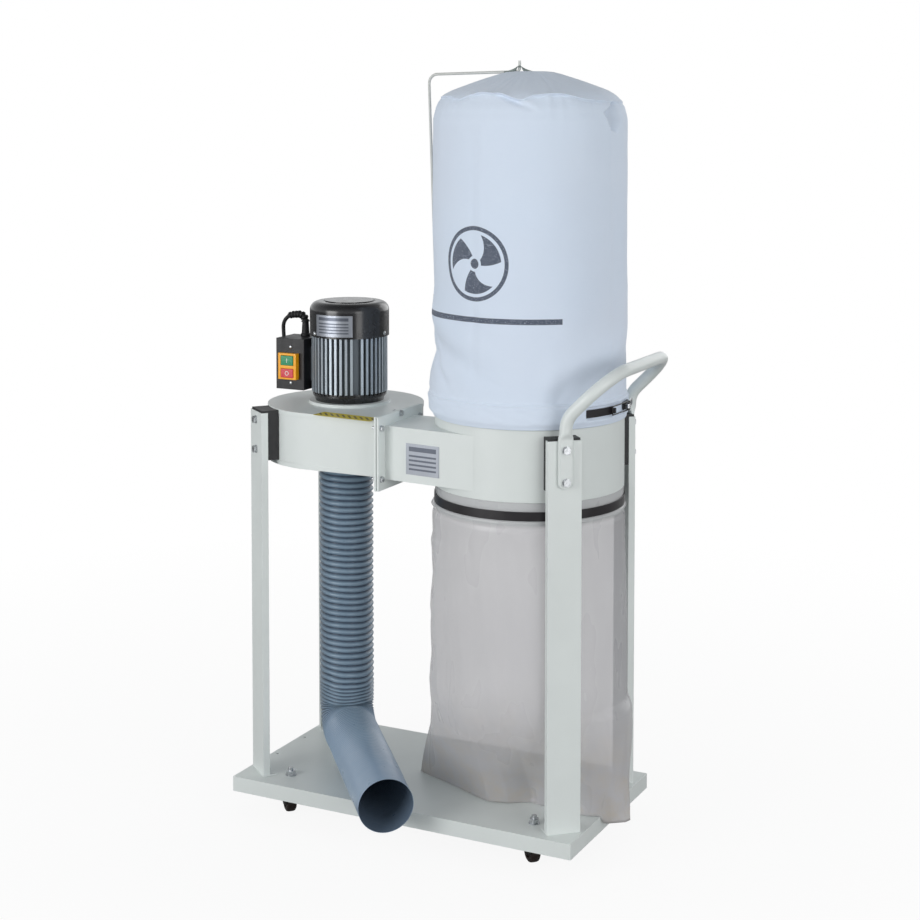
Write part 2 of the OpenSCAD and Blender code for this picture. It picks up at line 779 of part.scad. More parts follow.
module switch_box() {
  color("black") difference() {
    box(box_x - box_w / 2, box_x + box_w / 2, box_front + 3, box_front + box_d, box_z, box_z + box_h);
    box(box_x - box_w / 2 + 2.5, box_x + box_w / 2 - 2.5, box_front, box_front + box_d - 2.5,
        box_z + 2.5, box_z + box_h - 2.5);
    translate([box_x + 5.5, 3, box_z + 80]) cylinder(r = 6, h = 40);
  }
}

module switch_cover() {
  color("black") difference() {
    union() {
      box(box_x - box_w / 2, box_x + box_w / 2, box_front, box_front + 3 - touch,
          box_z, box_z + box_h);
      box(box_x - 18, box_x + 18, box_front + 1, box_front + 26, bezel_z - 25, bezel_z + 25);
    }
    box(box_x - 15.2, box_x + 15.2, box_front - 5, box_front + 24, on_z - on_h / 2 - 0.4,
        on_z + on_h / 2 + 0.4);
    box(box_x - 15.2, box_x + 15.2, box_front - 5, box_front + 24, off_z - off_h / 2 - 0.4,
        off_z + off_h / 2 + 0.4);
    for (z = screw_z) translate([screw_x, box_front - 1, z])
      rotate([-90, 0, 0]) cylinder(r = 2.1, h = 10);
  }
}

module switch_bezel() {
  color("gold") difference() {
    box(box_x - bezel_w / 2, box_x + bezel_w / 2, box_front - 12, box_front - touch,
        bezel_z - bezel_h / 2, bezel_z + bezel_h / 2);
    box(box_x - 15, box_x + 15, box_front - 20, box_front + 5, on_z - on_h / 2 - 0.3,
        on_z + on_h / 2 + 0.3);
    box(box_x - 15, box_x + 15, box_front - 20, box_front + 5, off_z - off_h / 2 - 0.3,
        off_z + off_h / 2 + 0.3);
  }
}

module button(z, h) {
  box(box_x - button_w / 2, box_x + button_w / 2, button_y, button_y + 20, z - h / 2, z + h / 2);
}

module button_on() { color("seagreen") button(on_z, on_h); }
module button_off() { color("crimson") button(off_z, off_h); }

module switch_screws() {
  color("silver") for (z = screw_z)
    translate([screw_x, box_front - touch, z]) rotate([90, 0, 0]) {
      rotate_extrude($fn = 32) polygon([[0, 0], [3.6, 0], [3.2, 1.3], [2, 2], [0, 2.2]]);
      translate([0, 0, -2.8]) cylinder(r = 2, h = 2.8);
    }
}

module cable_boot() {
  color("black") translate([box_x + 5.5, 3, box_z + box_h + touch]) rotate_extrude($fn = 48)
    polygon([[4.2, 0], [10, 0], [10, 4], [8.2, 6], [6.8, 29], [4.2, 31]]);
}

lead_z = housing_top_z + 56;
lead_start = [box_x + 5.5, 3, box_z + box_h - 10];
lead_crest = lead_start + [0, 0, 55];
lead_side = [-371, 2, lead_z + 114];
lead_low = [-369, 8, lead_z + 4];
lead_back = [-362, 32, lead_z];
lead_end = [box_x + box_w / 2 - 0.3, 31, lead_z];
lead_path = concat(
  [lead_start],
  corner(lead_start, lead_crest, lead_side, 14, 8),
  corner(lead_crest, lead_side, lead_low, 30, 8),
  corner(lead_side, lead_low, lead_back, 13, 6),
  corner(lead_low, lead_back, lead_end, 12, 6),
  [lead_end]);

module motor_lead() {
  color("black") sweep(lead_path, [for (p = lead_path) [4, 4, 1, 0]], [0.1, 1, 0.3], 12);
}

// ---------- bags, straps and hanger ----------

module filter_bag() {
  z1 = drum_top + 0.5;
  s = drum_top + bag_h;
  color("lavender") translate([drum_x, 0, 0]) rotate_extrude($fn = 120) polygon([
    [bag_r - 5.3, z1], [bag_r, z1], [bag_r, s - 44], [bag_r - 5, s - 18], [bag_r - 17.8, s + 5],
    [45, s + dome_h - 1], [0, s + dome_h], [0, s + dome_h - 3], [45, s + dome_h - 4.2],
    [bag_r - 20.3, s + 2.5], [bag_r - 7.9, s - 19], [bag_r - 3, s - 44.5],
    [bag_r - 3, z1 + 50], [bag_r - 5.3, z1 + 48]]);
}

module collection_bag() {
  z = tray_z + 0.3;
  r = drum_r;
  color("silver", 0.7) translate([drum_x, 0, 0]) rotate_extrude($fn = 120) polygon([
    [0, z], [138, z], [142, z + 18], [r + 1, z + 60], [r + 12, z + 110], [r + 12, z + 240],
    [r + 5, z + 540],
    [r + 3.1, drum_z - collar_h - 2], [r + 3.1, drum_z - collar_h + 9], [r - 1, drum_z - 34.7],
    [r - 1, drum_z - 0.5], [r - 2.8, drum_z - 0.5], [r - 2.8, drum_z - 35.4],
    [r + 1.3, drum_z - collar_h + 8.3], [r + 1.3, drum_z - collar_h - 2], [r + 3, z + 540],
    [r + 10, z + 240], [r + 10, z + 111], [r - 1, z + 61.5], [140, z + 19.5], [136, z + 2],
    [0, z + 2]]);
}

// Straps: the band ends carry a tab with a lug and a base with two ears. The lever's pin is on
// the latch frame's +X axis, and the lever points towards +Y when it is shut.
tab_turn = 18;           // angle from the lever's pin back to the tab
band_t = 2;
pin_out = 8.8;           // from the band's outside to the lever's pin
bail_arm = 8;            // from the lever's pin to the bail's bar
wire_r = 1.25;
bail_half = 8;
upper_latch_turn = 6;
lower_latch_turn = 95;

module strap(r_in, z, turn) {
  r = r_in + band_t;
  translate([drum_x, 0, z]) rotate([0, 0, turn]) {
    rotate([0, 0, 14]) rotate_extrude(angle = 306, $fn = 180)
      translate([r_in, 0]) square([band_t, strap_h]);
    rotate([0, 0, -2]) rotate_extrude(angle = 18, $fn = 180)
      translate([r - 0.5, 1]) square([2.5, strap_h - 2]);
    rotate([0, 0, -tab_turn - 28]) rotate_extrude(angle = 30, $fn = 180)
      translate([r - 0.5, 1]) square([2.5, strap_h - 2]);
    for (s = [-1, 1]) translate([0, 0, strap_h / 2 + s * 5.4 - 0.8]) difference() {
      box(r + 1.5, r + pin_out + 3.5, -5, 5, 0, 1.6);
      translate([r + pin_out, 0, -1]) cylinder(r = 1.5 + run, h = 4, $fn = 32);
    }
    rotate([0, 0, -tab_turn + 0.7]) box(r + 1.5, r + 9, -3, 3, strap_h / 2 - 5, strap_h / 2 + 5);
  }
}

module upper_strap() { color("black") strap(bag_r + 0.2, upper_strap_z, upper_latch_turn); }
module lower_strap() { color("black") strap(lower_bag_r + 0.2, lower_strap_z, lower_latch_turn); }

module at_latch(r_in, z, turn) {
  translate([drum_x, 0, z + strap_h / 2]) rotate([0, 0, turn])
    translate([r_in + band_t + pin_out, 0, 0]) children();
}

module lever() {
  difference() {
    union() {
      translate([0, 0, -6.1]) cylinder(r = 1.5, h = 12.2, $fn = 32);
      translate([0, 0, -4.3]) cylinder(r = 3, h = 8.6, $fn = 32);
      box(-1.2, 1.2, 0, 10, -4.3, 4.3);
      translate([0, bail_arm, -4.3]) cylinder(r = 2.8, h = 8.6, $fn = 32);
      rotate([0, 0, 9]) box(-1.2, 1.2, 9, 62, -6, 6);
    }
    translate([0, bail_arm, -10]) cylinder(r = wire_r + run, h = 20, $fn = 32);
    rotate([0, 0, 9]) box(-5, 5, 24, 54, -2.2, 2.2);
  }
}

module bail(reach) {
  end = [-12.5, -reach, 0];
  start = [0, bail_arm, 0];
  run_v = end - start;
  turn = atan2(run_v[1], run_v[0]);
  translate([0, bail_arm, -bail_half]) cylinder(r = wire_r, h = 2 * bail_half, $fn = 24);
  translate([end[0], end[1], -bail_half]) cylinder(r = wire_r, h = 2 * bail_half, $fn = 24);
  for (s = [-1, 1]) translate([0, bail_arm, s * bail_half]) {
    rotate([0, 0, turn]) rotate([0, 90, 0]) cylinder(r = wire_r, h = norm(run_v), $fn = 24);
    sphere(r = wire_r + 0.05, $fn = 24);
    translate(run_v) sphere(r = wire_r + 0.05, $fn = 24);
  }
}

module upper_lever() {
  color("silver") at_latch(bag_r + 0.2, upper_strap_z, upper_latch_turn) lever();
}
module lower_lever() {
  color("silver") at_latch(lower_bag_r + 0.2, lower_strap_z, lower_latch_turn) lever();
}
module upper_bail() {
  color("dimgray") at_latch(bag_r + 0.2, upper_strap_z, upper_latch_turn) bail(64);
}
module lower_bail() {
  color("dimgray") at_latch(lower_bag_r + 0.2, lower_strap_z, lower_latch_turn) bail(63);
}

rod_r = 2.75;
rod_foot = [drum_x - socket_r * cos(socket_angle), -socket_r * sin(socket_angle), drum_top - 45];
rod_top = [-18.5, -12.8, drum_top + bag_h + 45];
hook = [176.5, -8.7, drum_top + bag_h + 50];
rod_path = concat(
  [rod_foot],
  corner(rod_foot, rod_top, hook, 18, 8),
  corner(rod_top, hook, hook + [1, 0, 30], 7, 6),
  [hook + [0.5, 0, 21]]);

module hanger_rod() {
  color("gainsboro") sweep(rod_path, [for (p = rod_path) [rod_r, rod_r, 1, 0]], [0.1, 1, 0], 14);
}

module name_plates() {
  slope = atan((duct_end_y - outlet_front + 3) / (duct_end_x - duct_x + 6));
  color("silver") translate([duct_x - 6, outlet_front - 3, duct_mid]) rotate([0, 0, slope])
    box(55, 130, -0.9, -0.1, -36.5, 23.5);
  color("silver") translate([motor_x, 0, cowl_z + 4]) rotate([0, 0, -114.6])
    rotate_extrude(angle = 59) translate([cowl_r + touch, 0]) square([0.6, 43]);
}

base_tray();
leg_front_left();
leg_front_right();
leg_back_left();
leg_back_right();
leg_spacers();
leg_bolts();
leg_nuts();
foot_bolts();
caster_stems();
fork_front_left();
fork_front_right();
fork_back_left();
fork_back_right();
wheel_front_left();
wheel_front_right();
wheel_back_left();
wheel_back_right();
push_handle();
separator_drum();
transfer_duct();
duct_gasket();
duct_bolts();
fan_housing();
housing_top();
housing_bottom();
hose_clamp();
hose_upper();
hose_lower();
hose_cuff();
motor_body();
motor_bell();
motor_cowl();
cowl_screws();
motor_bolts();
stator();
rotor_core();
motor_shaft();
motor_bearings();
cooling_fan();
impeller();
impeller_bolt();
switch_box();
switch_cover();
switch_bezel();
button_on();
button_off();
switch_screws();
cable_boot();
motor_lead();
filter_bag();
upper_strap();
upper_lever();
upper_bail();
collection_bag();
lower_strap();
lower_lever();
lower_bail();
hanger_rod();
name_plates();
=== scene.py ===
"""Looks of the dust collector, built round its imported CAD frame. Metres, Z up, +X towards the bags."""

import json
import math

import bmesh
import bpy
import numpy as np
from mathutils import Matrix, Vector, noise


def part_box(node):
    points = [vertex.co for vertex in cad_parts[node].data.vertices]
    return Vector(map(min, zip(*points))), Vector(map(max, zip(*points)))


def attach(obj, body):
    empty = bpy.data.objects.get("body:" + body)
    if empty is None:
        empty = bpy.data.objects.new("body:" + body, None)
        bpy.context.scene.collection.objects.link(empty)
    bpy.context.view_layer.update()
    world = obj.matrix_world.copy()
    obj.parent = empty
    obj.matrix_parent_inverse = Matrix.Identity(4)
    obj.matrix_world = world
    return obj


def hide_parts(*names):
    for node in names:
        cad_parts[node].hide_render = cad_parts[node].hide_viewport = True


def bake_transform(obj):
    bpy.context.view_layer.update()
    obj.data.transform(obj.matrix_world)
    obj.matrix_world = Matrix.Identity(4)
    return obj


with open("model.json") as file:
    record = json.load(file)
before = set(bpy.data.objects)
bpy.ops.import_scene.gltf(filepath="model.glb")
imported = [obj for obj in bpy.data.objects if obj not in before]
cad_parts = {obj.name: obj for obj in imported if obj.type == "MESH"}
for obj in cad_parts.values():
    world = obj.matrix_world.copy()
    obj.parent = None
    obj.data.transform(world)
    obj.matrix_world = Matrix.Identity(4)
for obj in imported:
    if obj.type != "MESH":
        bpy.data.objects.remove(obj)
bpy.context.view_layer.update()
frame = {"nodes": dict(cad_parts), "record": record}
nodes = frame["nodes"]

DRUM = Vector((0.1957, 0, 0))                   # axis of drum and bags
INLET = Vector((-0.2179, 0, 0))                 # axis of housing and hose
MOTOR = Vector((-0.209, 0, 0))                  # axis of the motor
HOUSING_LOW = 0.712
HOUSING_TOP = 0.824
COWL_LOW = 0.963                                # lower rim of the motor's fan cowl
FIN_ROOT, FIN_TIP = 0.0665, 0.0768              # radii of the motor's grooves and fins
BAG_R = 0.1878                                  # filter bag
EYE = Vector((1.6573, -3.2231, 1.4658))         # camera's place
LOOK = Vector((-0.4526, 0.8897, -0.0597))       # camera's direction
LENS = 71.5
SHIFT = (0.0128, -0.2853)                       # sideways shift and rise of the lens board


# ---------- node materials ----------

class Graph:
    """One node material. Methods that make nodes return their output sockets."""

    def __init__(self, name, **principled):
        self.material = bpy.data.materials.new(name)
        self.material.use_nodes = True
        self.tree = self.material.node_tree
        self.shader = self.tree.nodes["Principled BSDF"]
        self.set(**principled)

    def set(self, **values):
        names = {"color": "Base Color", "rough": "Roughness", "metal": "Metallic", "coat": "Coat Weight",
                 "coat_rough": "Coat Roughness", "sheen": "Sheen Weight", "normal": "Normal",
                 "alpha": "Alpha", "specular": "Specular IOR Level"}
        for key, value in values.items():
            self.plug(self.shader.inputs[names[key]], value)

    def plug(self, socket, value):
        if isinstance(value, bpy.types.NodeSocket):
            self.tree.links.new(value, socket)
        elif isinstance(value, (tuple, list)) and len(value) == 3 and socket.type == "RGBA":
            socket.default_value = (*value, 1)
        else:
            socket.default_value = value

    def node(self, kind, out=0, inputs=None, **attributes):
        made = self.tree.nodes.new(kind)
        for key, value in attributes.items():
            setattr(made, key, value)
        for key, value in (inputs or {}).items():
            self.plug(made.inputs[key], value)
        return made.outputs[out]

    def place(self):
        return self.node("ShaderNodeTexCoord", "Object")

    def scaled(self, factors, vector=None):
        """Texture place stretched by a factor along each axis."""
        return self.node("ShaderNodeMapping", inputs={0: vector or self.place(), 3: factors})

    def noise(self, scale, detail=3.0, rough=0.55, vector=None):
        return self.node("ShaderNodeTexNoise", "Fac", {"Vector": vector or self.place(), "Scale": scale,
                         "Detail": detail, "Roughness": rough})

    def math(self, operation, a, b=0.0):
        return self.node("ShaderNodeMath", inputs={0: a, 1: b}, operation=operation)

    def times(self, a, b):
        return self.math("MULTIPLY", a, b)

    def most(self, a, b):
        return self.math("MAXIMUM", a, b)

    def distance(self, u, v):
        return self.math("SQRT", self.math("ADD", self.times(u, u), self.times(v, v)))

    def wave(self, value, period):
        """Sine of the value, one turn for each period."""
        return self.math("SINE", self.times(value, 2 * math.pi / period))

    def span(self, value, low, high, to_low=0.0, to_high=1.0):
        """The value brought from the range low to high into another one, and held at its ends."""
        return self.node("ShaderNodeMapRange", inputs={0: value, 1: low, 2: high, 3: to_low, 4: to_high})

    def mix(self, factor, a, b):
        made = self.tree.nodes.new("ShaderNodeMix")
        made.data_type = "RGBA"
        for index, value in ((0, factor), (6, a), (7, b)):
            self.plug(made.inputs[index], value)
        return made.outputs[2]

    def bump(self, height, distance, strength=1.0, normal=None):
        inputs = {"Height": height, "Distance": distance, "Strength": strength}
        if normal is not None:
            inputs["Normal"] = normal
        return self.node("ShaderNodeBump", inputs=inputs)

    def axes(self):
        made = self.tree.nodes.new("ShaderNodeSeparateXYZ")
        self.plug(made.inputs[0], self.place())
        return made.outputs[0], made.outputs[1], made.outputs[2]


def rgb(r, g, b):
    """Linear colour from 0-255 display values."""
    return tuple(((v / 255 + 0.055) / 1.055) ** 2.4 if v > 10 else v / 255 / 12.92 for v in (r, g, b))


def shade(color, factor):
    return tuple(min(1.0, v * factor) for v in color)


def inside(g, value, low, high, soft):
    """1 between low and high, with a soft edge."""
    return g.times(g.span(value, low - soft, low), g.span(value, high, high + soft, 1.0, 0.0))


def powder_paint(name, color, gloss=0.36):
    """Sprayed steel: fine orange peel, faint clouding, dust in the pores, scattered darker scuffs."""
    g = Graph(name, coat=0.25, coat_rough=0.28)
    cloud = g.noise(5.0, 4)
    base = g.mix(g.span(cloud, 0.3, 0.7), shade(color, 0.965), shade(color, 1.03))
    speck = g.span(g.noise(900, 1), 0.70, 0.78)
    base = g.mix(g.times(speck, 0.10), base, shade(color, 0.55))
    scuff = g.span(g.noise(38, 8, 0.72), 0.66, 0.80)
    base = g.mix(g.times(scuff, 0.16), base, shade(color, 0.72))
    g.set(color=base)
    g.set(rough=g.span(g.noise(16, 5), 0.3, 0.7, gloss - 0.05, gloss + 0.10))
    peel = g.bump(g.noise(520, 2), 0.00010, 0.35)
    g.set(normal=g.bump(cloud, 0.0020, 0.25, peel))
    return g.material


def zinc(name, color):
    """Zinc plating with faint patches."""
    g = Graph(name, metal=1.0)
    patch = g.noise(260, 4)
    g.set(color=g.mix(g.span(patch, 0.3, 0.7), shade(color, 0.78), shade(color, 1.1)))
    g.set(rough=g.span(g.noise(150, 3), 0.3, 0.7, 0.20, 0.42))
    g.set(normal=g.bump(g.noise(1400, 2), 0.00006, 0.5))
    return g.material


def brushed(name, color, rough):
    """Ground or rolled steel with fine level streaks."""
    g = Graph(name, metal=1.0)
    streak = g.noise(40, 3, vector=g.scaled((1, 1, 60)))
    g.set(color=g.mix(streak, shade(color, 0.85), shade(color, 1.1)))
    g.set(rough=g.span(streak, 0.3, 0.7, rough - 0.06, rough + 0.1), normal=g.bump(streak, 0.00004, 0.6))
    return g.material


def cast_aluminium(name):
    """Sand-cast fins: coarse grain, and painted shade that darkens them towards the roots of the fins."""
    g = Graph(name, metal=0.75)
    x, y, _ = g.axes()
    # painted shade: dark in the grooves at the fin roots, fading to the crests' colour at the fin tips
    painted_groove_shade = g.span(g.distance(g.math("SUBTRACT", x, MOTOR.x), y), FIN_ROOT, FIN_TIP)
    grain = g.noise(700, 3)
    lit = g.mix(g.span(grain, 0.3, 0.7), rgb(168, 179, 187), rgb(200, 209, 217))
    g.set(color=g.mix(painted_groove_shade, rgb(98, 105, 111), lit))
    g.set(rough=g.span(grain, 0.3, 0.7, 0.34, 0.52), normal=g.bump(grain, 0.00012, 0.6))
    return g.material


def moulded(name, color, rough=0.4, grain=900, depth=0.00005, coat=0.0, vary=0.12):
    """Moulded plastic: fine spark-eroded grain and slight clouding."""
    g = Graph(name, coat=coat, coat_rough=0.15)
    cloud = g.noise(22, 4)
    g.set(color=g.mix(cloud, shade(color, 1 - vary), shade(color, 1 + vary)))
    g.set(rough=g.span(g.noise(60, 4), 0.3, 0.7, rough - 0.05, rough + 0.08))
    g.set(normal=g.bump(g.noise(grain, 2), depth, 0.6))
    return g.material


def iron(name, color):
    """Bare iron laminations."""
    g = Graph(name, metal=0.8)
    grain = g.noise(300, 5)
    g.set(color=g.mix(grain, shade(color, 0.7), shade(color, 1.2)), rough=0.5)
    g.set(normal=g.bump(grain, 0.0002, 0.5))
    return g.material


def ruled_bars(g, x, z, left, right, bottom, top):
    """1 on thin level bars under a wide one, within a plate's margins."""
    margin = (right - left) * 0.09
    across = inside(g, x, left + margin, right - margin, 0.0003)
    step = (top - bottom) / 7
    rule = g.span(g.wave(g.math("SUBTRACT", z, bottom), step), 0.1, 0.3)
    body = g.times(rule, inside(g, z, bottom + step * 0.8, top - step * 2.2, 0.0003))
    head = inside(g, z, top - step * 1.7, top - step * 0.7, 0.0003)
    return g.times(across, g.most(body, head))


def printed_plate(name):
    """Foil plates with plain ruled bars in place of any wording."""
    g = Graph(name, metal=0.85)
    x, _, z = g.axes()
    streak = g.noise(40, 3, vector=g.scaled((60, 60, 1)))
    base = g.mix(streak, rgb(150, 156, 166), rgb(186, 190, 198))
    points = [v.co for v in nodes["name_plates"].data.vertices]
    bars = 0.0
    for plate in ([p for p in points if p.z < COWL_LOW], [p for p in points if p.z > COWL_LOW]):
        xs, zs = [p.x for p in plate], [p.z for p in plate]
        bars = g.most(bars, ruled_bars(g, x, z, min(xs), max(xs), min(zs), max(zs)))
    g.set(color=g.mix(g.times(bars, 0.75), base, rgb(70, 76, 90)))
    g.set(rough=g.span(streak, 0.3, 0.7, 0.28, 0.44), normal=g.bump(streak, 0.00004, 0.6))
    return g.material


def marked_button(name, node, color, ring):
    """Glossy plastic with a pale mark: a ring for off, an upright bar for on."""
    g = Graph(name, coat=0.3, coat_rough=0.15)
    x, _, z = g.axes()
    low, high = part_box(node)
    u = g.math("SUBTRACT", x, (low.x + high.x) / 2)
    v = g.math("SUBTRACT", z, (low.z + high.z) / 2)
    if ring:
        mark = inside(g, g.distance(u, v), 0.0034, 0.0045, 0.0001)
    else:
        mark = g.times(inside(g, u, -0.0006, 0.0006, 0.0001), inside(g, v, -0.0042, 0.0042, 0.0001))
    base = g.mix(g.noise(22, 4), shade(color, 0.94), shade(color, 1.06))
    g.set(color=g.mix(mark, base, rgb(232, 232, 226)), rough=g.span(g.noise(60, 4), 0.3, 0.7, 0.25, 0.38))
    g.set(normal=g.bump(g.noise(900, 2), 0.00005, 0.6))
    return g.material


PAINT = rgb(222, 228, 226)
materials = {
    "painted_steel": powder_paint("powder_paint", PAINT),
    "black_spacer": moulded("spacer_plastic", rgb(24, 24, 27), 0.45),
    "zinc_steel": zinc("zinc_plate", (0.58, 0.60, 0.62)),
    "black_steel": moulded("black_enamel", rgb(26, 22, 20), 0.35, coat=0.3),
    "caster_plastic": moulded("caster_nylon", rgb(34, 22, 18), 0.3, coat=0.3),
    "motor_black": moulded("motor_enamel", rgb(19, 19, 22), 0.24, 420, 0.00012, coat=0.55),
    "cast_aluminium": cast_aluminium("cast_fins"),
    "stator_iron": iron("lamination", (0.20, 0.18, 0.17)),
    "rotor_iron": iron("rotor_iron", (0.35, 0.35, 0.36)),
    "shaft_steel": brushed("ground_steel", (0.6, 0.6, 0.6), 0.25),
    "impeller_paint": powder_paint("impeller_paint", rgb(150, 152, 152), 0.5),
    "fan_plastic": moulded("fan_nylon", rgb(40, 40, 42), 0.5),
    "gasket_grey": moulded("gasket_foam", rgb(196, 202, 202), 0.7, 500, 0.0001),
    "rubber": moulded("cable_rubber", rgb(20, 20, 22), 0.55, 1300, 0.00007),
    "switch_black": moulded("switch_plastic", rgb(26, 26, 29), 0.38, 1500, 0.00008),
    "yellow_plastic": moulded("bezel_plastic", rgb(250, 172, 12), 0.32, coat=0.25, vary=0.05),
    "green_plastic": marked_button("green_plastic", "button_on", rgb(8, 140, 92), False),
    "red_plastic": marked_button("red_plastic", "button_off", rgb(212, 62, 72), True),
    "strap_black": moulded("strap_steel", rgb(32, 29, 32), 0.34, 500, 0.00008, coat=0.2),
    "bright_steel": brushed("latch_steel", (0.72, 0.74, 0.76), 0.16),
    "plate_aluminium": printed_plate("plate_foil"),
    "rod_paint": powder_paint("rod_paint", rgb(206, 208, 204), 0.3),
    "hose_plastic": moulded("hose_pvc", rgb(112, 132, 155), 0.3, coat=0.2),
    "filter_cloth": moulded("bag_cloth", rgb(214, 224, 238), 0.8),
    "bag_film": moulded("bag_film", rgb(180, 180, 184), 0.3),
}


# ---------- CAD nodes: finishes and softened edges ----------

FINE = {"zinc_steel": 0.00025, "black_steel": 0.0004, "switch_black": 0.0012, "yellow_plastic": 0.0009,
        "green_plastic": 0.0008, "red_plastic": 0.0008, "cast_aluminium": 0.0005, "motor_black": 0.0006,
        "strap_black": 0.0003, "bright_steel": 0.0003, "plate_aluminium": 0.0001}
slots = {s["node"]: s["material_slot"] for s in frame["record"]["subparts"]}


def finish_cad(name):
    """Finish of the node's material slot, and edges rounded the way pressed steel or mouldings are."""
    o = nodes[name]
    o.data.materials.clear()
    o.data.materials.append(materials[slots[name]])
    o.data.polygons.foreach_set("use_smooth", [True] * len(o.data.polygons))
    weld = o.modifiers.new("weld", "WELD")
    weld.merge_threshold = 0.00001
    flat = o.modifiers.new("flat", "DECIMATE")
    flat.decimate_type = "DISSOLVE"
    flat.angle_limit = math.radians(0.3)
    bevel = o.modifiers.new("edge", "BEVEL")
    bevel.width = FINE.get(slots[name], 0.0006)
    bevel.segments = 2
    bevel.limit_method = "ANGLE"
    bevel.angle_limit = math.radians(35)
    normals = o.modifiers.new("normals", "WEIGHTED_NORMAL")
    normals.keep_sharp = True


for node_name in nodes:
    finish_cad(node_name)


# ---------- mesh helpers ----------

def link_mesh(name, vertices, faces, material, body, smooth=True):
    """New piece from plain vertices and faces, riding on a CAD body."""
    mesh = bpy.data.meshes.new(name)
    mesh.from_pydata([tuple(v) for v in vertices], [], [tuple(f) for f in faces])
    mesh.validate()
    mesh.polygons.foreach_set("use_smooth", [smooth] * len(mesh.polygons))
    mesh.materials.append(material)
    o = bpy.data.objects.new(name, mesh)
    bpy.context.scene.collection.objects.link(o)
    if body:
        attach(o, body)
    return o


def ring_faces(rings, count, closed=False):
    """Quads between consecutive rings of count points; closed joins the last ring to the first."""
    faces = []
    for i in range(rings if closed else rings - 1):
        a, b = i * count, (i + 1) % rings * count
        for k in range(count):
            n = (k + 1) % count
            faces.append((a + k, a + n, b + n, b + k))
    return faces


def smooth_path(points, steps):
    """Catmull-Rom curve through the points."""
    p = [np.array(q, float) for q in points]
    p = [2 * p[0] - p[1]] + p + [2 * p[-1] - p[-2]]
    out = []
    for i in range(1, len(p) - 2):
        for t in np.linspace(0, 1, steps, endpoint=False):
            a, b, c, d = p[i - 1:i + 3]
            out.append(0.5 * (2 * b + (c - a) * t + (2 * a - 5 * b + 4 * c - d) * t * t
                       + (3 * b - a - 3 * c + d) * t ** 3))
    return np.array(out + [p[-2]])


def sweep(path, radii, count, up=(0, 0, 1)):
    """Rings of points round a path, one radius for each point."""
    path = np.asarray(path, float)
    tangent = np.gradient(path, axis=0)
    tangent /= np.linalg.norm(tangent, axis=1)[:, None]
    side = np.cross(tangent[0], up)
    turn = np.linspace(0, 2 * math.pi, count, endpoint=False)
    rings = []
    for i in range(len(path)):
        side = side - tangent[i] * (side @ tangent[i])
        side /= np.linalg.norm(side)
        other = np.cross(tangent[i], side)
        rings.append(path[i] + radii[i] * (np.outer(np.cos(turn), side) + np.outer(np.sin(turn), other)))
    return np.array(rings)


def swept_piece(name, path, radii, count, material, body, up=(0, 0, 1)):
    rings = sweep(path, radii, count, up)
    vertices = rings.reshape(-1, 3)
    faces = ring_faces(len(rings), count)
    faces += [tuple(range(count))[::-1], tuple((len(rings) - 1) * count + k for k in range(count))]
    return link_mesh(name, vertices, faces, material, body)


def fbm(points, scale, seed=0.0, octaves=3):
    """Smooth noise at each point, about -1 to 1."""
    shift = Vector((seed, seed * 0.7, -seed))
    return np.array([noise.fractal(Vector(p) * scale + shift, 1.0, 2.0, octaves) for p in points])


def smoothstep(x, low, high):
    t = np.clip((x - low) / (high - low), 0, 1)
    return t * t * (3 - 2 * t)


def float_attribute(o, name, values):
    made = o.data.attributes.new(name, "FLOAT", "POINT")
    made.data.foreach_set("value", np.asarray(values, np.float32).ravel())


# ---------- suction hose ----------

HOSE_TOP = HOUSING_LOW - 0.0004
HOSE_BEND = 0.058                       # radius of the bend's middle line
HOSE_YAW = math.radians(41)             # lower run's heading, from -Y towards +X
HOSE_DROP = math.radians(4.467)         # its fall below level
BEND_TOP = 0.20665
RUN_LENGTH = 0.3315
HOSE_R = 0.0533                         # radius of the plain mouth
HOSE_WALL = 0.0008
RIB_PITCH, RIB_HEIGHT = 0.0126, 0.0052
DRAWN_PITCH, DRAWN_HEIGHT = 0.0070, 0.0030
FALL = HOSE_TOP - BEND_TOP              # length of the hanging part
BEND = HOSE_BEND * (math.pi / 2 - HOSE_DROP)
HOSE_LENGTH = FALL + BEND + RUN_LENGTH


def hose_frame(s):
    """Centre, direction and side of the hose at length s from its top."""
    along = np.array((math.sin(HOSE_YAW), -math.cos(HOSE_YAW), 0))
    across = np.array((math.cos(HOSE_YAW), math.sin(HOSE_YAW), 0))
    up = np.array((0, 0, 1.0))
    top = np.array((INLET.x, 0, HOSE_TOP))
    if s < FALL:
        return top - up * s, -up, across
    a = min((s - FALL) / HOSE_BEND, math.pi / 2 - HOSE_DROP)
    bend = top - up * FALL + along * HOSE_BEND * (1 - math.cos(a)) - up * HOSE_BEND * math.sin(a)
    direction = along * math.sin(a) - up * math.cos(a)
    return bend + direction * max(0, s - FALL - BEND), direction, across


def hose_material():
    """Blue-grey PVC with painted shade between the ribs and inside the bore, paler from the bend down, with
    a little dust.
    """
    g = Graph("hose_pvc_ribbed", coat=0.15, coat_rough=0.2)
    ridge = g.node("ShaderNodeAttribute", "Fac", attribute_name="ridge")
    cloud = g.noise(14, 5)
    base = g.mix(cloud, rgb(116, 138, 157), rgb(134, 156, 174))
    _, _, z = g.axes()
    base = g.mix(g.span(z, 0.205, 0.180, 0.0, 0.8), base, rgb(144, 165, 188))
    # painted shade: darker between the ribs and inside the bore, where the ridge value is low
    base = g.mix(g.span(ridge, 0.0, 0.80), rgb(48, 61, 80), base)
    dust = g.times(g.span(g.noise(120, 6, 0.7), 0.52, 0.72), 0.14)
    g.set(color=g.mix(dust, base, rgb(160, 168, 176)))
    g.set(rough=g.span(g.noise(45, 4), 0.3, 0.7, 0.27, 0.42))
    g.set(normal=g.bump(g.noise(320, 3), 0.00012, 0.5))
    return g.material


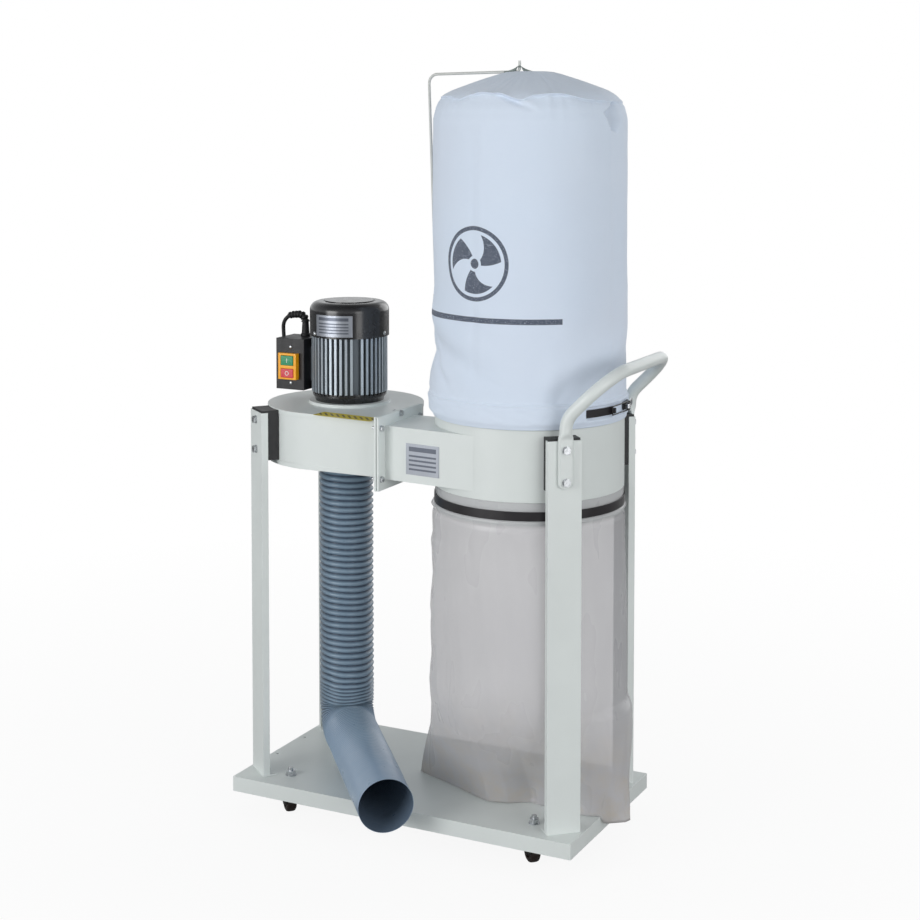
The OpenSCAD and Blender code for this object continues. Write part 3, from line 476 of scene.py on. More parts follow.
def hose_rows():
    """For each row down the hose its length from the top, rib phase, rib height, crown radius, swell of the
    bend, squeeze, share of ribs left, and the height that counts as a full rib."""
    s = np.append(np.arange(0, HOSE_LENGTH, 0.00115), HOSE_LENGTH)
    squeeze = smoothstep(s, FALL - 0.042, FALL - 0.028) * (1 - smoothstep(s, FALL + 0.008, FALL + 0.024))
    drawn = smoothstep(s, FALL + 0.004, FALL + 0.030)
    pitch = RIB_PITCH * (1 - drawn) + DRAWN_PITCH * drawn - 0.0056 * squeeze
    phase = np.concatenate(([0], np.cumsum(np.diff(s) / pitch[1:])))
    fading = 1 - 0.9 * smoothstep(s, FALL + 0.05, HOSE_LENGTH - 0.13)
    plain = 1 - smoothstep(s, HOSE_LENGTH - 0.075, HOSE_LENGTH - 0.055)
    ribbed = plain * smoothstep(s, 0.016, 0.026)
    height = (RIB_HEIGHT * (1 - drawn) + DRAWN_HEIGHT * drawn * fading) * ribbed
    crown = HOSE_R + 0.0024 * ribbed * (1 - 0.7 * drawn)
    swell = 0.010 * np.sin(np.pi * np.clip((s - FALL + 0.008) / (BEND + 0.016), 0, 1)) ** 1.3
    full = 0.0045 * (1 - drawn) + DRAWN_HEIGHT * drawn
    return zip(s, phase, height, crown, swell, squeeze, ribbed, full)


def make_hose():
    """Ribbed hose: ribs on the hanging part, squeezed into the bend, drawn out smooth below it."""
    count = 96
    turn = np.linspace(0, 2 * math.pi, count, endpoint=False)
    outer, inner, ridge = [], [], []
    for s, phase, height, crown, swell, squeeze, ribbed, full in hose_rows():
        centre, direction, across = hose_frame(s)
        wobble = 0.10 + 0.45 * squeeze + 0.25 * math.exp(-((s - FALL + 0.052) / 0.012) ** 2)
        drift = np.array([noise.noise(Vector((math.cos(t) * 1.3, math.sin(t) * 1.3, s * 26))) for t in turn])
        u = (phase + turn / (2 * math.pi) + wobble * drift) % 1.0
        shape = np.where(u < 0.94, 1 - np.abs(2 * u / 0.94 - 1) ** 2.0, 0.0)
        radius = crown - height * (1 - shape) + 0.0005 * drift * ribbed
        radius = radius + swell * np.clip(-np.sin(turn), 0, 1) ** 1.4
        rim = np.outer(np.cos(turn), across) + np.outer(np.sin(turn), np.cross(direction, across))
        outer.append(centre + rim * radius[:, None])
        inner.append(centre + rim * (radius - HOSE_WALL)[:, None])
        ridge.append(1 - (1 - shape) * min(1.0, height / full))
    rings = np.array(outer + inner[::-1])
    o = link_mesh("suction_hose", rings.reshape(-1, 3), ring_faces(len(rings), count, closed=True),
                  hose_material(), None)
    # the inner wall takes a ridge value of 0.35, so the hose material paints shade inside the bore
    float_attribute(o, "ridge", np.concatenate((np.array(ridge).ravel(), np.full(len(inner) * count, 0.35))))
    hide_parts("hose_upper", "hose_lower", "hose_cuff")
    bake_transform(o)


make_hose()


# ---------- label on the housing ----------

LABEL = Vector((-0.128, -0.153, HOUSING_TOP))
LABEL_SLOPE = 0.09
LABEL_SIZE = (0.136, 0.040)


def label_material():
    """Yellow foil with plain dark diagonal bars along its middle."""
    g = Graph("label_foil", coat=0.3, coat_rough=0.2)
    x, y, _ = g.axes()
    bars = g.span(g.wave(g.math("ADD", x, g.times(y, 0.8)), 0.013), 0.15, 0.30)
    centre = g.math("ADD", y, g.times(g.math("SUBTRACT", x, LABEL.x), LABEL_SLOPE))
    bars = g.times(bars, inside(g, centre, LABEL.y - 0.011, LABEL.y + 0.011, 0.0004))
    base = g.mix(g.noise(30, 4), rgb(206, 186, 26), rgb(226, 206, 44))
    g.set(color=g.mix(g.times(bars, 0.8), base, rgb(48, 46, 40)))
    g.set(rough=g.span(g.noise(50, 4), 0.3, 0.7, 0.32, 0.48), normal=g.bump(g.noise(400, 3), 0.0001, 0.5))
    return g.material


def make_label():
    """Thin foil label with rounded corners, stuck on the housing's flat top."""
    half_x, half_y = LABEL_SIZE[0] / 2, LABEL_SIZE[1] / 2
    corner = 0.004
    rim = []
    for sx, sy, first in ((1, 1, 0), (-1, 1, 90), (-1, -1, 180), (1, -1, 270)):
        for angle in range(first, first + 91, 15):
            u = sx * (half_x - corner) + corner * math.cos(math.radians(angle))
            v = sy * (half_y - corner) + corner * math.sin(math.radians(angle))
            rim.append((LABEL.x + u + v * LABEL_SLOPE, LABEL.y + v - u * LABEL_SLOPE))
    count = len(rim)
    rings = [[(x, y, HOUSING_TOP + lift) for x, y in rim] for lift in (0.00005, 0.00025)]
    faces = ring_faces(2, count) + [tuple(range(count))[::-1], tuple(count + k for k in range(count))]
    link_mesh("housing_label", np.array(rings).reshape(-1, 3), faces, label_material(), "machine",
              smooth=False)


make_label()


# ---------- cable ----------

def rounded_path(points, radii, steps=12):
    """Path through the points with an arc of the given radius at each corner between the ends."""
    p = [np.array(q, float) for q in points]
    out = [p[0]]
    for before, at, after, radius in zip(p, p[1:], p[2:], radii):
        a = (before - at) / np.linalg.norm(before - at)
        b = (after - at) / np.linalg.norm(after - at)
        half = math.acos(a @ b) / 2
        middle = (a + b) / np.linalg.norm(a + b)
        centre = at + middle * radius / math.sin(half)
        first = at + a * radius / math.tan(half) - centre
        last = at + b * radius / math.tan(half) - centre
        span = math.pi - 2 * half
        for t in np.linspace(0, 1, steps):
            leaning = first * math.sin((1 - t) * span) + last * math.sin(t * span)
            out.append(centre + leaning / math.sin(span))
    return np.array(out + [p[-1]])


def even_path(path, start, end, step):
    """The path's stretch between two lengths along it, in even steps, with those lengths."""
    along = np.concatenate(([0], np.cumsum(np.linalg.norm(np.diff(path, axis=0), axis=1))))
    lengths = np.arange(start, min(end, along[-1]), step)
    return lengths, np.stack([np.interp(lengths, along, path[:, k]) for k in range(3)], axis=1)


def make_cable():
    """Lead from the switch to the motor, with a ribbed strain relief that bends with it."""
    low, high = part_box("cable_boot")
    start = Vector(((low.x + high.x) / 2, (low.y + high.y) / 2, low.z - 0.010))
    corners = [start, start + Vector((0, 0, 0.055)), (-0.371, 0.002, 0.994), (-0.369, 0.008, 0.884),
               (-0.362, 0.032, 0.880), start + Vector((0.0272, 0.028, -0.063))]
    path = rounded_path(corners, (0.014, 0.030, 0.013, 0.012))
    path[:, 1] += 0.0006 * np.sin(path[:, 2] * 120)
    lengths, lead_path = even_path(path, 0, 1, 0.002)
    lead = swept_piece("motor_cable", lead_path, np.full(len(lengths), 0.0040), 20, materials["rubber"],
                       "machine", (0, 1, 0))
    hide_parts("motor_lead")
    relief_start, relief_length = high.z - start.z - 0.002, 0.050
    lengths, rib_path = even_path(path, relief_start, relief_start + relief_length, 0.0006)
    along = lengths - relief_start
    ribs = np.where((along % 0.0072) < 0.0042, 1.0, 0.0)
    ribs = np.convolve(ribs, np.ones(3) / 3, "same")
    rib_height = np.interp(along, [0, relief_length], [0.0026, 0.0018])
    radii = np.interp(along, [0, relief_length], [0.0062, 0.0052]) + ribs * rib_height
    radii[0] = radii[-1] = 0.0042
    swept_piece("strain_relief", rib_path, radii, 24, materials["rubber"], "machine", (0, 1, 0))


make_cable()


# ---------- filter bag ----------

ROD_ANGLE = 181.6                       # where the hanger rod runs up the bag, in degrees
SEAM_ANGLE = -10.7                      # side seam
HEM_LOW = 0.8335
HEM_TOP = 0.880
SEAM_Z = 1.452                          # mean height of the sewn top edge
SIDE_HEIGHT = 0.6185                    # from the hem's lower edge to the seam
DOME_TOP = 1.4990
HEM_R = 0.1876                          # least radius of the hem
CLOTH = 0.0012                          # thickness of the cloth


def wrap(angle):
    """Angle in degrees brought into -180 to 180."""
    return (np.asarray(angle) + 180.0) % 360.0 - 180.0


def hump(x, centre, width):
    return np.exp(-((x - centre) / width) ** 2)


def crease(angle, z, start, end, width, depth):
    """Inward fold along a line between two (angle, height) points, with a soft ridge over it."""
    per_degree = math.radians(1) * BAG_R
    a = np.array((wrap(angle - start[0]) * per_degree, z - start[1]))
    b = np.array((wrap(end[0] - start[0]) * per_degree, end[1] - start[1]))
    length = np.hypot(*b)
    t = np.clip((a[0] * b[0] + a[1] * b[1]) / length ** 2, 0, 1)
    off_x, off_z = a[0] - t * b[0], a[1] - t * b[1]
    distance = np.hypot(off_x, off_z)
    above = (a[1] * b[0] - a[0] * b[1]) / length * (1 if b[0] > 0 else -1)
    fade = np.sin(np.pi * np.clip(0.10 + 0.80 * t, 0, 1))
    valley = -np.exp(-(distance / width) ** 2)
    ridge = 0.55 * np.exp(-((distance - 1.9 * width) / (1.2 * width)) ** 2) * (above > 0)
    return depth * fade * (valley + ridge)


def seam_height(angle):
    """Height of the sewn top edge, which rises and dips with the gathers."""
    a = [-180, -150, -128, -116, -105.6, -97, -89, -85, -78.5, -70.6, -66, -55, -46.5, -38.8, -29.7, -5,
         20, 45, 70, 95, 120, 150, 180]
    z = [1.452, 1.449, 1.453, 1.446, 1.455, 1.4605, 1.457, 1.459, 1.451, 1.4445, 1.453, 1.4565, 1.4575,
         1.453, 1.4465, 1.442, 1.440, 1.446, 1.454, 1.449, 1.455, 1.449, 1.452]
    offsets = np.linspace(-5, 5, 11)
    weights = np.exp(-(offsets / 2.6) ** 2)
    heights = [w * np.interp(wrap(np.asarray(angle) + d), a, z) for d, w in zip(offsets, weights)]
    return sum(heights) / sum(weights)


def pleat(angle, z):
    """The tuck below the seam, 1 at its deep left edge and 0 outside it."""
    left = np.interp(z, [1.3806, 1.3868, 1.4206, 1.446], [-5.0, -11.3, -17.6, -2.0])
    right = np.interp(z, [1.3806, 1.4055, 1.446], [-4.8, 4.0, 0.0])
    span = np.clip((wrap(angle) - left) / np.maximum(right - left, 0.5), 0, 1)
    fold = np.sin(np.pi * span) ** 0.5 * (1 - span)
    return fold * smoothstep(z, 1.3806, 1.388) * (1 - smoothstep(z, 1.436, 1.446))


# Creases of the side: start and end as (angle, height), width, depth.
CREASES = [((-146, 0.962), (-121, 0.905), 0.0085, 0.0060),
           ((-158, 1.006), (-95, 0.934), 0.0190, 0.0052),
           ((22, 0.966), (-44, 0.915), 0.0200, 0.0052),
           ((-42, 0.920), (-54, 0.872), 0.0170, 0.0045),
           ((-86, 1.4545), (-64, 1.428), 0.0046, 0.0046),
           ((40, 1.30), (92, 1.12), 0.020, 0.0040),
           ((78, 1.00), (128, 0.93), 0.016, 0.0050),
           ((120, 1.42), (138, 1.36), 0.009, 0.0050)]


def bag_wall(angle, z):
    """Radius of the bag's side at an angle in degrees and a height."""
    a = wrap(angle)
    rise = smoothstep(z, 1.404, 1.431)
    r = BAG_R - 0.0050 * rise - 0.0125 * smoothstep(z, 1.424, 1.456)
    side = np.clip(1 - np.abs(wrap(a + 150)) / 38, 0, 1)
    side = smoothstep(side, 0, 0.62) * (1 - 0.8 * smoothstep(-wrap(a + 158), 4, 16))
    sag = np.interp(z, [0.8335, 0.845, 0.855, 0.880, 0.893, 0.915, 0.933, 0.958, 0.986, 1.031, 1.087,
                        1.19, 1.30],
                    [-0.001, 0.0030, 0.0042, 0.0062, 0.0080, 0.0048, 0.0004, -0.0072, -0.0012, 0.0018,
                     -0.0020, 0.0016, 0])
    r = r + side * sag
    mid = smoothstep(z, 0.89, 0.95) * (1 - smoothstep(z, 1.36, 1.43))
    r = r - 0.0022 * hump(wrap(a + 100), 0, 3.2) * mid * (1 - smoothstep(z, 1.02, 1.40) * 0.5)
    r = r + 0.0012 * hump(wrap(a + 93), 0, 7) * mid
    for start, end, width, depth in CREASES:
        r = r + crease(a, z, start, end, width, depth)
    return r - 0.0115 * pleat(a, z)


def hem_shape(angle, z, r):
    """Tunnel hem that hides the strap, open where the latch is."""
    a = wrap(angle)
    open_part = smoothstep(a, -32.5, -30.5) * (1 - smoothstep(a, 14, 16.5))
    tunnel = smoothstep(z, 0.835, 0.846) * (1 - smoothstep(z, 0.872, 0.8795))
    low = 0.0010 + 0.0038 * tunnel
    cut = smoothstep(z, 0.8465, 0.8490) * (1 - smoothstep(z, 0.8705, 0.8735))
    shown = low * (1 - open_part * cut) - 0.0006 * open_part * cut
    edge = np.where(z < HEM_TOP, shown, 0.0)
    step = 0.0010 * (1 - smoothstep(np.abs(z - HEM_TOP), 0.0007, 0.0022))
    rod = hump(wrap(a - ROD_ANGLE), 0, 9)
    least = HEM_R * (z < HEM_TOP)
    return np.maximum(r + step + edge, least) - rod * np.clip(r + edge - 0.1900, 0, 1)


def around(angle, radius, height):
    """Points on a circle, where noise is read so that it closes round the bag."""
    return [Vector((math.cos(t) * radius, math.sin(t) * radius, height)) for t in map(math.radians, angle)]


def even_rows(*parts):
    """Rows from 0 up, given as (end, count) pairs; the last end is a row too."""
    rows, start = [], 0.0
    for end, count in parts[:-1]:
        rows.append(np.linspace(start, end, count, endpoint=False))
        start = end
    return np.concatenate(rows + [np.linspace(start, *parts[-1])])


def bag_ring(angle, r, z):
    return np.stack((DRUM.x + r * np.cos(np.radians(angle)), r * np.sin(np.radians(angle)), z), axis=1)


def bag_side_row(angle, v, top, gather, pucker):
    """One ring of the side at height v over the hem's lower edge, and how shaded it is."""
    z = HEM_LOW + v + (top - SEAM_Z) * smoothstep(v, 0.50, SIDE_HEIGHT)
    below = top - z
    above_hem = z - HEM_TOP
    r = bag_wall(angle, z)
    r = r + gather * 0.0030 * np.exp(-below / 0.020) * smoothstep(below, 0.001, 0.006)
    r = r + pucker * 0.0012 * np.exp(-below / 0.045)
    r = r - 0.0012 * hump(below, 0.0050, 0.0026) + 0.0015 * hump(below, 0.0007, 0.0011)
    r = r + pucker * 0.0009 * np.exp(-np.abs(above_hem - 0.004) / 0.012) * (above_hem > 0)
    drift = fbm([(math.cos(t) * 0.228, math.sin(t) * 0.228, q * 0.8) for t, q in zip(np.radians(angle), z)],
                9.0, 4.0)
    r = r + 0.0016 * drift * smoothstep(z, 0.885, 0.93) * (1 - 0.5 * smoothstep(z, 1.40, 1.44))
    puck = fbm([(t * 0.19 + q * 0.55, q * 2.2, 5.0) for t, q in zip(np.radians(angle), z)], 42.0, 9.0, 2)
    r = r + 0.0009 * puck * (z < 0.878) * smoothstep(z, 0.836, 0.846)
    seam = hump(wrap(angle - SEAM_ANGLE), 0, 0.75)
    r = r + 0.0011 * seam * (z > 0.8805) * smoothstep(below, 0.0, 0.01)
    shaded = 0.6 * hump(below, 0.0032, 0.0016) + 1.5 * pleat(angle, z)
    return bag_ring(angle, hem_shape(angle, z, r), z), shaded


def bag_top_row(angle, t, edge_r, top, gather, pucker):
    """One ring of the top panel, from the seam at t = 0 to the middle at t = 1, grooved under the rod."""
    r = edge_r * (1 - t) + 0.0004 * t
    z = np.interp(r, [0.0, 0.030, 0.045, 0.060, 0.100, 0.150, 0.172],
                  [1.4988, 1.4984, 1.4968, 1.4930, 1.4800, 1.4622, 1.452])
    z = z + (top - SEAM_Z) * np.exp(-t / 0.05) + 0.0010 * hump(t, 0.006, 0.005)
    z = z + gather * 0.0016 * np.exp(-t / 0.16) * smoothstep(t, 0.0, 0.05)
    z = np.minimum(z + pucker * 0.0014 * np.exp(-((t - 0.42) / 0.32) ** 2), DOME_TOP)
    ring = bag_ring(angle, r, z)
    x, y = ring[:, 0], ring[:, 1]
    under_rod = (1 - smoothstep(np.abs(y + 0.0105), 0.0055, 0.0110)) * (1 - smoothstep(x, 0.186, 0.194))
    ring[:, 2] -= under_rod * np.maximum(z - 1.4932, 0)
    return ring


def make_filter_bag():
    """Cloth tube, sewn to a gathered top panel that hangs from the hook; the lower hem holds the strap."""
    columns = 320
    angle = np.linspace(-180, 180, columns, endpoint=False)
    top = seam_height(angle)
    gather = np.array([noise.fractal(p, 0.8, 2.1, 3) for p in around(angle, 7.5, 3.1)])
    pucker = np.array([noise.noise(p) for p in around(angle, 15, 8.2)])
    rings, shaded = [], []
    for v in even_rows((0.0125, 6), (0.0365, 11), (0.0490, 14), (0.500, 96), (0.602, 40), (0.6135, 9),
                       (SIDE_HEIGHT, 12)):
        ring, dark = bag_side_row(angle, v, top, gather, pucker)
        rings.append(ring)
        shaded.append(dark)
    edge_r = np.hypot(rings[-1][:, 0] - DRUM.x, rings[-1][:, 1])
    for t in np.concatenate((np.linspace(0.012, 0.10, 6), np.linspace(0.14, 1.0, 34))):
        rings.append(bag_top_row(angle, t, edge_r, top, gather, pucker))
        shaded.append(np.zeros(columns))
    faces = ring_faces(len(rings), columns)
    last = (len(rings) - 1) * columns
    faces.append(tuple(last + k for k in range(columns)))
    o = link_mesh("filter_bag_cloth", np.array(rings).reshape(-1, 3), faces, bag_cloth_material(), "machine")
    float_attribute(o, "shade", np.array(shaded).ravel())
    thick = o.modifiers.new("cloth", "SOLIDIFY")
    thick.thickness = CLOTH
    thick.offset = -1
    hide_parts("filter_bag")


def polar(g):
    """Angle about the drum axis in degrees and height in metres, as sockets."""
    x, y, z = g.axes()
    angle = g.times(g.math("ARCTAN2", y, g.math("SUBTRACT", x, DRUM.x)), math.degrees(1))
    return angle, z


def fan_mark(g, angle, z, centre, height, size):
    """Plain pictogram of a three-bladed fan in a ring, printed on the cloth."""
    u = g.times(g.math("SUBTRACT", angle, centre), math.radians(1) * BAG_R / size)
    v = g.math("DIVIDE", g.math("SUBTRACT", z, height), size)
    radius = g.distance(u, v)
    twist = g.math("SUBTRACT", g.times(g.math("ARCTAN2", v, u), 3.0), g.times(radius, 2.6))
    limit = g.span(radius, 0.15, 0.85, 0.55, -0.30)
    blade = g.span(g.math("SUBTRACT", g.math("COSINE", twist), limit), 0.0, 0.06)
    ring = inside(g, radius, 0.90, 1.0, 0.01)
    hub = g.span(radius, 0.13, 0.14, 1.0, 0.0)
    return g.most(g.most(g.times(blade, inside(g, radius, 0.22, 0.80, 0.01)), ring), hub)


def sewn_lines(g, angle, side, z):
    """1 on the stitches beside the side seam and along the hem."""
    beside = inside(g, g.math("ABSOLUTE", g.math("SUBTRACT", angle, SEAM_ANGLE)), 0.62, 0.76, 0.06)
    upright = g.times(beside, g.span(z, 0.882, 0.884))
    upright = g.times(upright, g.span(g.wave(z, 0.0032), -0.2, 0.2))
    level = g.times(inside(g, z, 0.8762, 0.8768, 0.0002), g.span(g.wave(side, 0.0032), -0.2, 0.2))
    return g.most(upright, level)


def bag_cloth_material():
    """Pale blue plain-weave filter cloth with slight slubs, dust, stitching and a printed mark."""
    g = Graph("filter_cloth_weave", sheen=0.25, specular=0.25)
    angle, z = polar(g)
    side = g.times(angle, math.radians(1) * BAG_R)
    sheet = g.node("ShaderNodeCombineXYZ", inputs={0: side, 1: z, 2: 0.0})
    weave = g.times(g.wave(side, 0.0011), g.wave(z, 0.0011))
    slub = g.noise(60, 3, vector=g.scaled((1, 14, 1), sheet))
    slub_up = g.noise(60, 3, vector=g.scaled((14, 1, 1), sheet))
    tone = g.math("ADD", g.times(g.noise(4.0, 3), 0.7), g.times(slub, 0.3))
    base = g.mix(tone, rgb(212, 226, 244), rgb(228, 239, 252))
    base = g.mix(g.times(g.span(weave, -0.2, 1.0), 0.06), base, rgb(160, 176, 200))
    warm = g.span(g.noise(2.6, 2), 0.45, 0.70)
    base = g.mix(g.times(warm, 0.30), base, rgb(224, 228, 240))
    stripe = g.times(inside(g, angle, -149.0, -47.0, 0.3), inside(g, z, 1.030, 1.040, 0.0004))
    mark = g.most(fan_mark(g, angle, z, -99.0, 1.140, 0.070), stripe)
    worn = g.span(g.noise(700, 3), 0.28, 0.42)
    base = g.mix(g.times(g.times(mark, worn), 0.93), base, rgb(66, 74, 92))
    shaded = g.node("ShaderNodeAttribute", "Fac", attribute_name="shade")
    base = g.mix(g.times(shaded, 0.25), base, rgb(112, 130, 154))
    stitches = sewn_lines(g, angle, side, z)
    base = g.mix(g.times(stitches, 0.5), base, rgb(236, 240, 246))
    g.set(color=base, rough=g.span(slub_up, 0.3, 0.7, 0.74, 0.88))
    fine = g.bump(weave, 0.00012, 0.35)
    fine = g.bump(slub, 0.00025, 0.35, fine)
    fine = g.bump(slub_up, 0.00020, 0.30, fine)
    fine = g.bump(g.noise(26, 4), 0.0016, 0.22, fine)
    g.set(normal=g.bump(stitches, 0.00035, 0.8, fine))
    return g.material


def webbing_material():
    g = Graph("webbing", sheen=0.2)
    x, _, z = g.axes()
    rib = g.wave(g.math("ADD", x, z), 0.0013)
    g.set(color=g.mix(g.span(rib, -1, 1), rgb(118, 130, 128), rgb(164, 174, 170)), rough=0.8)
    g.set(normal=g.bump(rib, 0.0002, 0.7))
    return g.material


def make_hang_loop():
    """Webbing loop hung over the hook. It lies flat there and twists upright towards its sewn feet."""
    hook = np.array((0.1765, -0.0087))
    across = np.array((0.89, 0.455))
    reach = 0.024
    lying = np.array((-across[1], across[0], 0)) * 0.0070
    upright = np.array((0, 0, 0.0034))
    half = [(0.0, 1.5088), (0.16, 1.5074), (0.55, 1.5028), (1.0, 1.4992), (1.25, 1.4984)]
    corners = [(*(hook + across * reach * t), z) for t, z in [(-t, z) for t, z in half[:0:-1]] + half]
    path = smooth_path(corners, 6)
    tangent = np.gradient(path, axis=0)
    tangent /= np.linalg.norm(tangent, axis=1)[:, None]
    outline = ((-1, -1), (-0.4, -1.25), (0.4, -1.25), (1, -1), (1, 1), (0.4, 1.25), (-0.4, 1.25), (-1, 1))
    vertices = []
    for p, t in zip(path, tangent):
        twist = smoothstep(np.hypot(*(p[:2] - hook)), 0.0025, 0.0085)
        width = lying * (1 - twist) + upright * twist
        thick = np.cross(t, width)
        thick *= -0.0006 / np.linalg.norm(thick)
        vertices += [p - upright * twist + width * a + thick * b for a, b in outline]
    count = len(outline)
    faces = ring_faces(len(path), count)
    faces += [tuple(range(count))[::-1], tuple((len(path) - 1) * count + k for k in range(count))]
    link_mesh("hang_loop", vertices, faces, webbing_material(), "machine")


make_filter_bag()
make_hang_loop()


# ---------- collection bag ----------

# The film's lower edge on the tray: angle at the bag's top, x, y.
FOOT = [(-180, -0.046, 0.000), (-165, -0.016, -0.015), (-150, 0.028, -0.030), (-135, 0.074, -0.050),
        (-120, 0.112, -0.068), (-105, 0.148, -0.082), (-90, 0.186, -0.072), (-75, 0.221, -0.048),
        (-60, 0.254, -0.054), (-45, 0.300, -0.060), (-32, 0.345, -0.062), (-20, 0.385, -0.046),
        (-8, 0.411, -0.026), (0, 0.4155, -0.012), (8, 0.409, 0.004), (22, 0.384, 0.024),
        (40, 0.334, 0.052), (62, 0.272, 0.078), (90, 0.196, 0.088), (118, 0.120, 0.076),
        (145, 0.040, 0.046), (165, -0.012, 0.022), (180, -0.046, 0.0)]
RIM_LOW = 0.6625                        # the round rim's lower end
RIM_R, BEAD_R = 0.1836, 0.1893          # the rim inside the collar, the bead under the strap


def foot_outline(angle):
    """Where the film's lower edge lies on the tray, for each angle of the bag's top."""
    at, x, y = np.array(FOOT).T
    a = wrap(angle)
    return np.stack((np.interp(a, at, x), np.interp(a, at, y)), axis=-1)


def film_material():
    """Milky polyethylene film: see-through, soft sheen along its creases, with dust at the bottom. The
    dust's pale warm colour is also painted light that lifts the shaded bottom.
    Part of the light that meets it goes on as if it were clear, as scattered light does."""
    g = Graph("film", rough=0.28, specular=0.5)
    _, _, z = g.axes()
    pull = g.scaled((1.0, 1.0, 0.35))
    crinkle = g.noise(9, 2, 0.4, pull)
    fine = g.noise(16, 2, 0.5, pull)
    low = g.span(z, 0.30, 0.08)
    base = g.mix(g.noise(4, 2), rgb(191, 190, 194), rgb(203, 202, 204))
    dust = g.span(g.noise(22, 6, 0.65), 0.42, 0.70)
    # dust at the bottom, painted pale and warm so that it is also painted light over the shaded bottom of
    # the bag
    base = g.mix(g.times(g.times(low, dust), 0.70), base, rgb(206, 194, 176))
    g.set(color=base, rough=g.span(fine, 0.3, 0.7, 0.24, 0.36))
    milky = g.span(g.noise(3, 2), 0.3, 0.7, 0.54, 0.62)
    milky = g.math("ADD", milky, g.span(z, 0.24, 0.12, 0.0, 0.18))
    shadow = g.node("ShaderNodeLightPath", "Is Shadow Ray")
    g.set(alpha=g.times(milky, g.math("SUBTRACT", 1.0, g.times(shadow, 0.45))))
    g.set(normal=g.bump(fine, 0.0005, 0.15, g.bump(crinkle, 0.0030, 0.25)))
    return g.material


def film_rows():
    """Heights of the film's rows: dense at the rim, even down the side."""
    rim = [0.6968, 0.690, 0.6835, 0.6815, 0.679, 0.672, 0.665, 0.6632, 0.6618, 0.6600, 0.6575, 0.6552,
           0.6530, 0.6512, 0.6490, 0.6460, 0.6425]
    return np.concatenate((rim, np.linspace(0.638, 0.084, 124)))


def film_rim(angle, z):
    """Round rim inside the drum's collar."""
    r = np.full(len(angle), RIM_R) + 0.0004 * np.array([noise.noise(p) for p in around(angle, 9, z * 60)])
    r = np.minimum(r, 0.18395) + (0.0007 if z > 0.6815 else 0.0)
    return bag_ring(angle, r, np.full(len(angle), z))


def film_side_radius(angle, z):
    """Radius of the side before it is drawn to the foot: the bead over the strap, slack and creases."""
    bead = BEAD_R * hump(z, 0.6572, 0.0055) ** 0.35
    body = 0.1868 + 0.0040 * smoothstep(0.64 - z, 0, 0.25) + 0.004 * smoothstep(0.40 - z, 0, 0.16)
    r = np.maximum(body * np.ones(len(angle)), min(bead, BEAD_R))
    r = r - 0.0026 * hump(z, 0.6480, 0.0040)
    flow = np.array([noise.fractal(Vector((p.x, p.y, z * 2.2 + 3 * p.x / 1.6)), 1.0, 2.0, 3)
                     for p in around(angle, 1.6, 0)])
    diagonal = np.array([noise.ridged_multi_fractal(Vector((t * 1.5 + z * 6.5, z * 7.5, 2.0)),
                                                    1.0, 2.1, 2, 1.0, 2.0)
                         for t in np.radians(np.abs(angle))])
    tug = np.array([noise.noise(p) for p in around(angle, 7, z * 5)])
    left = np.clip(1 - np.abs(wrap(angle + 152)) / 30, 0, 1)
    right = hump(wrap(angle - 8), 0, 18) * smoothstep(0.40 - z, 0, 0.1)
    slack = 0.02 + 0.7 * smoothstep(0.33 - z, 0, 0.24) + 0.8 * left + 0.6 * right
    folds = 0.0030 * flow - 0.0020 * (diagonal - 1.0) * slack + 0.0018 * tug * hump(z, 0.62, 0.035)
    r = r + smoothstep(0.645 - z, 0, 0.06) * folds
    return r + left * np.interp(z, [0.20, 0.26, 0.31, 0.36, 0.45, 0.52, 0.56, 0.585, 0.60, 0.63],
                                [0.004, 0.002, 0.003, 0.000, 0.003, -0.001, 0.002, 0.004, 0.001, 0.003])


def film_side(angle, z, foot):
    """Ring of the side, drawn from round to the foot's outline, with an ear at the right."""
    ring = bag_ring(angle, film_side_radius(angle, z), np.full(len(angle), z))
    drawn = (1 - smoothstep(z, 0.050, 0.335)) ** 1.15
    ring[:, :2] = ring[:, :2] * (1 - drawn) + foot * drawn
    ear = hump(wrap(angle), 0, 17) * smoothstep(0.290 - z, 0.0, 0.018)
    target = 0.4075 + 0.003 * math.sin(z * 34)
    ring[:, 0] += ear * np.maximum(target - ring[:, 0], 0) * 0.9
    ring[:, 1] += 0.010 * hump(wrap(angle + 72), 0, 9) * smoothstep(0.20 - z, 0, 0.10)
    return ring


def film_foot(last, foot):
    """Rings from the side's end to the weld: a corner hangs over the tray's edge, the rest lies on it."""
    hang = smoothstep(foot[:, 0], 0.366, 0.376)
    rings = []
    for t, height in ((0.45, 0.0798), (1.0, 0.0788)):
        last = np.concatenate((last[:, :2] * (1 - t) + foot * t,
                               (height * (1 - hang) + hang * (0.0765 - 0.011 * t))[:, None]), axis=1)
        rings.append(last)
    seam_y = np.interp(last[:, 0], [-0.046, 0.15, 0.25, 0.36, 0.410], [0.0, 0.004, 0.006, -0.010, -0.013])
    for t in (0.35, 0.7, 0.97):
        ring = last.copy()
        ring[:, 1] = last[:, 1] * (1 - t) + seam_y * t
        ring[:, 2] = last[:, 2] + 0.0006 * t
        rings.append(ring)
    return rings


def make_collection_bag():
    """Film tube under the drum: round rim, creased below, and closed flat along a weld on the tray."""
    columns = 300
    angle = np.linspace(-180, 180, columns, endpoint=False)
    foot = foot_outline(angle)
    rings = [film_rim(angle, z) if z > RIM_LOW else film_side(angle, z, foot) for z in film_rows()]
    rings += film_foot(rings[-1], foot)
    faces = ring_faces(len(rings), columns)
    base = (len(rings) - 1) * columns
    for k in range(columns // 2):
        a, b = base + k, base + k + 1
        c, d = base + (columns - k - 1) % columns, base + (columns - k) % columns
        faces.append((a, b, c, d) if k else (a, b, c))
    o = link_mesh("collection_bag_film", np.array(rings).reshape(-1, 3), faces, film_material(), "machine")
    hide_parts("collection_bag")


make_collection_bag()


# ---------- stage ----------

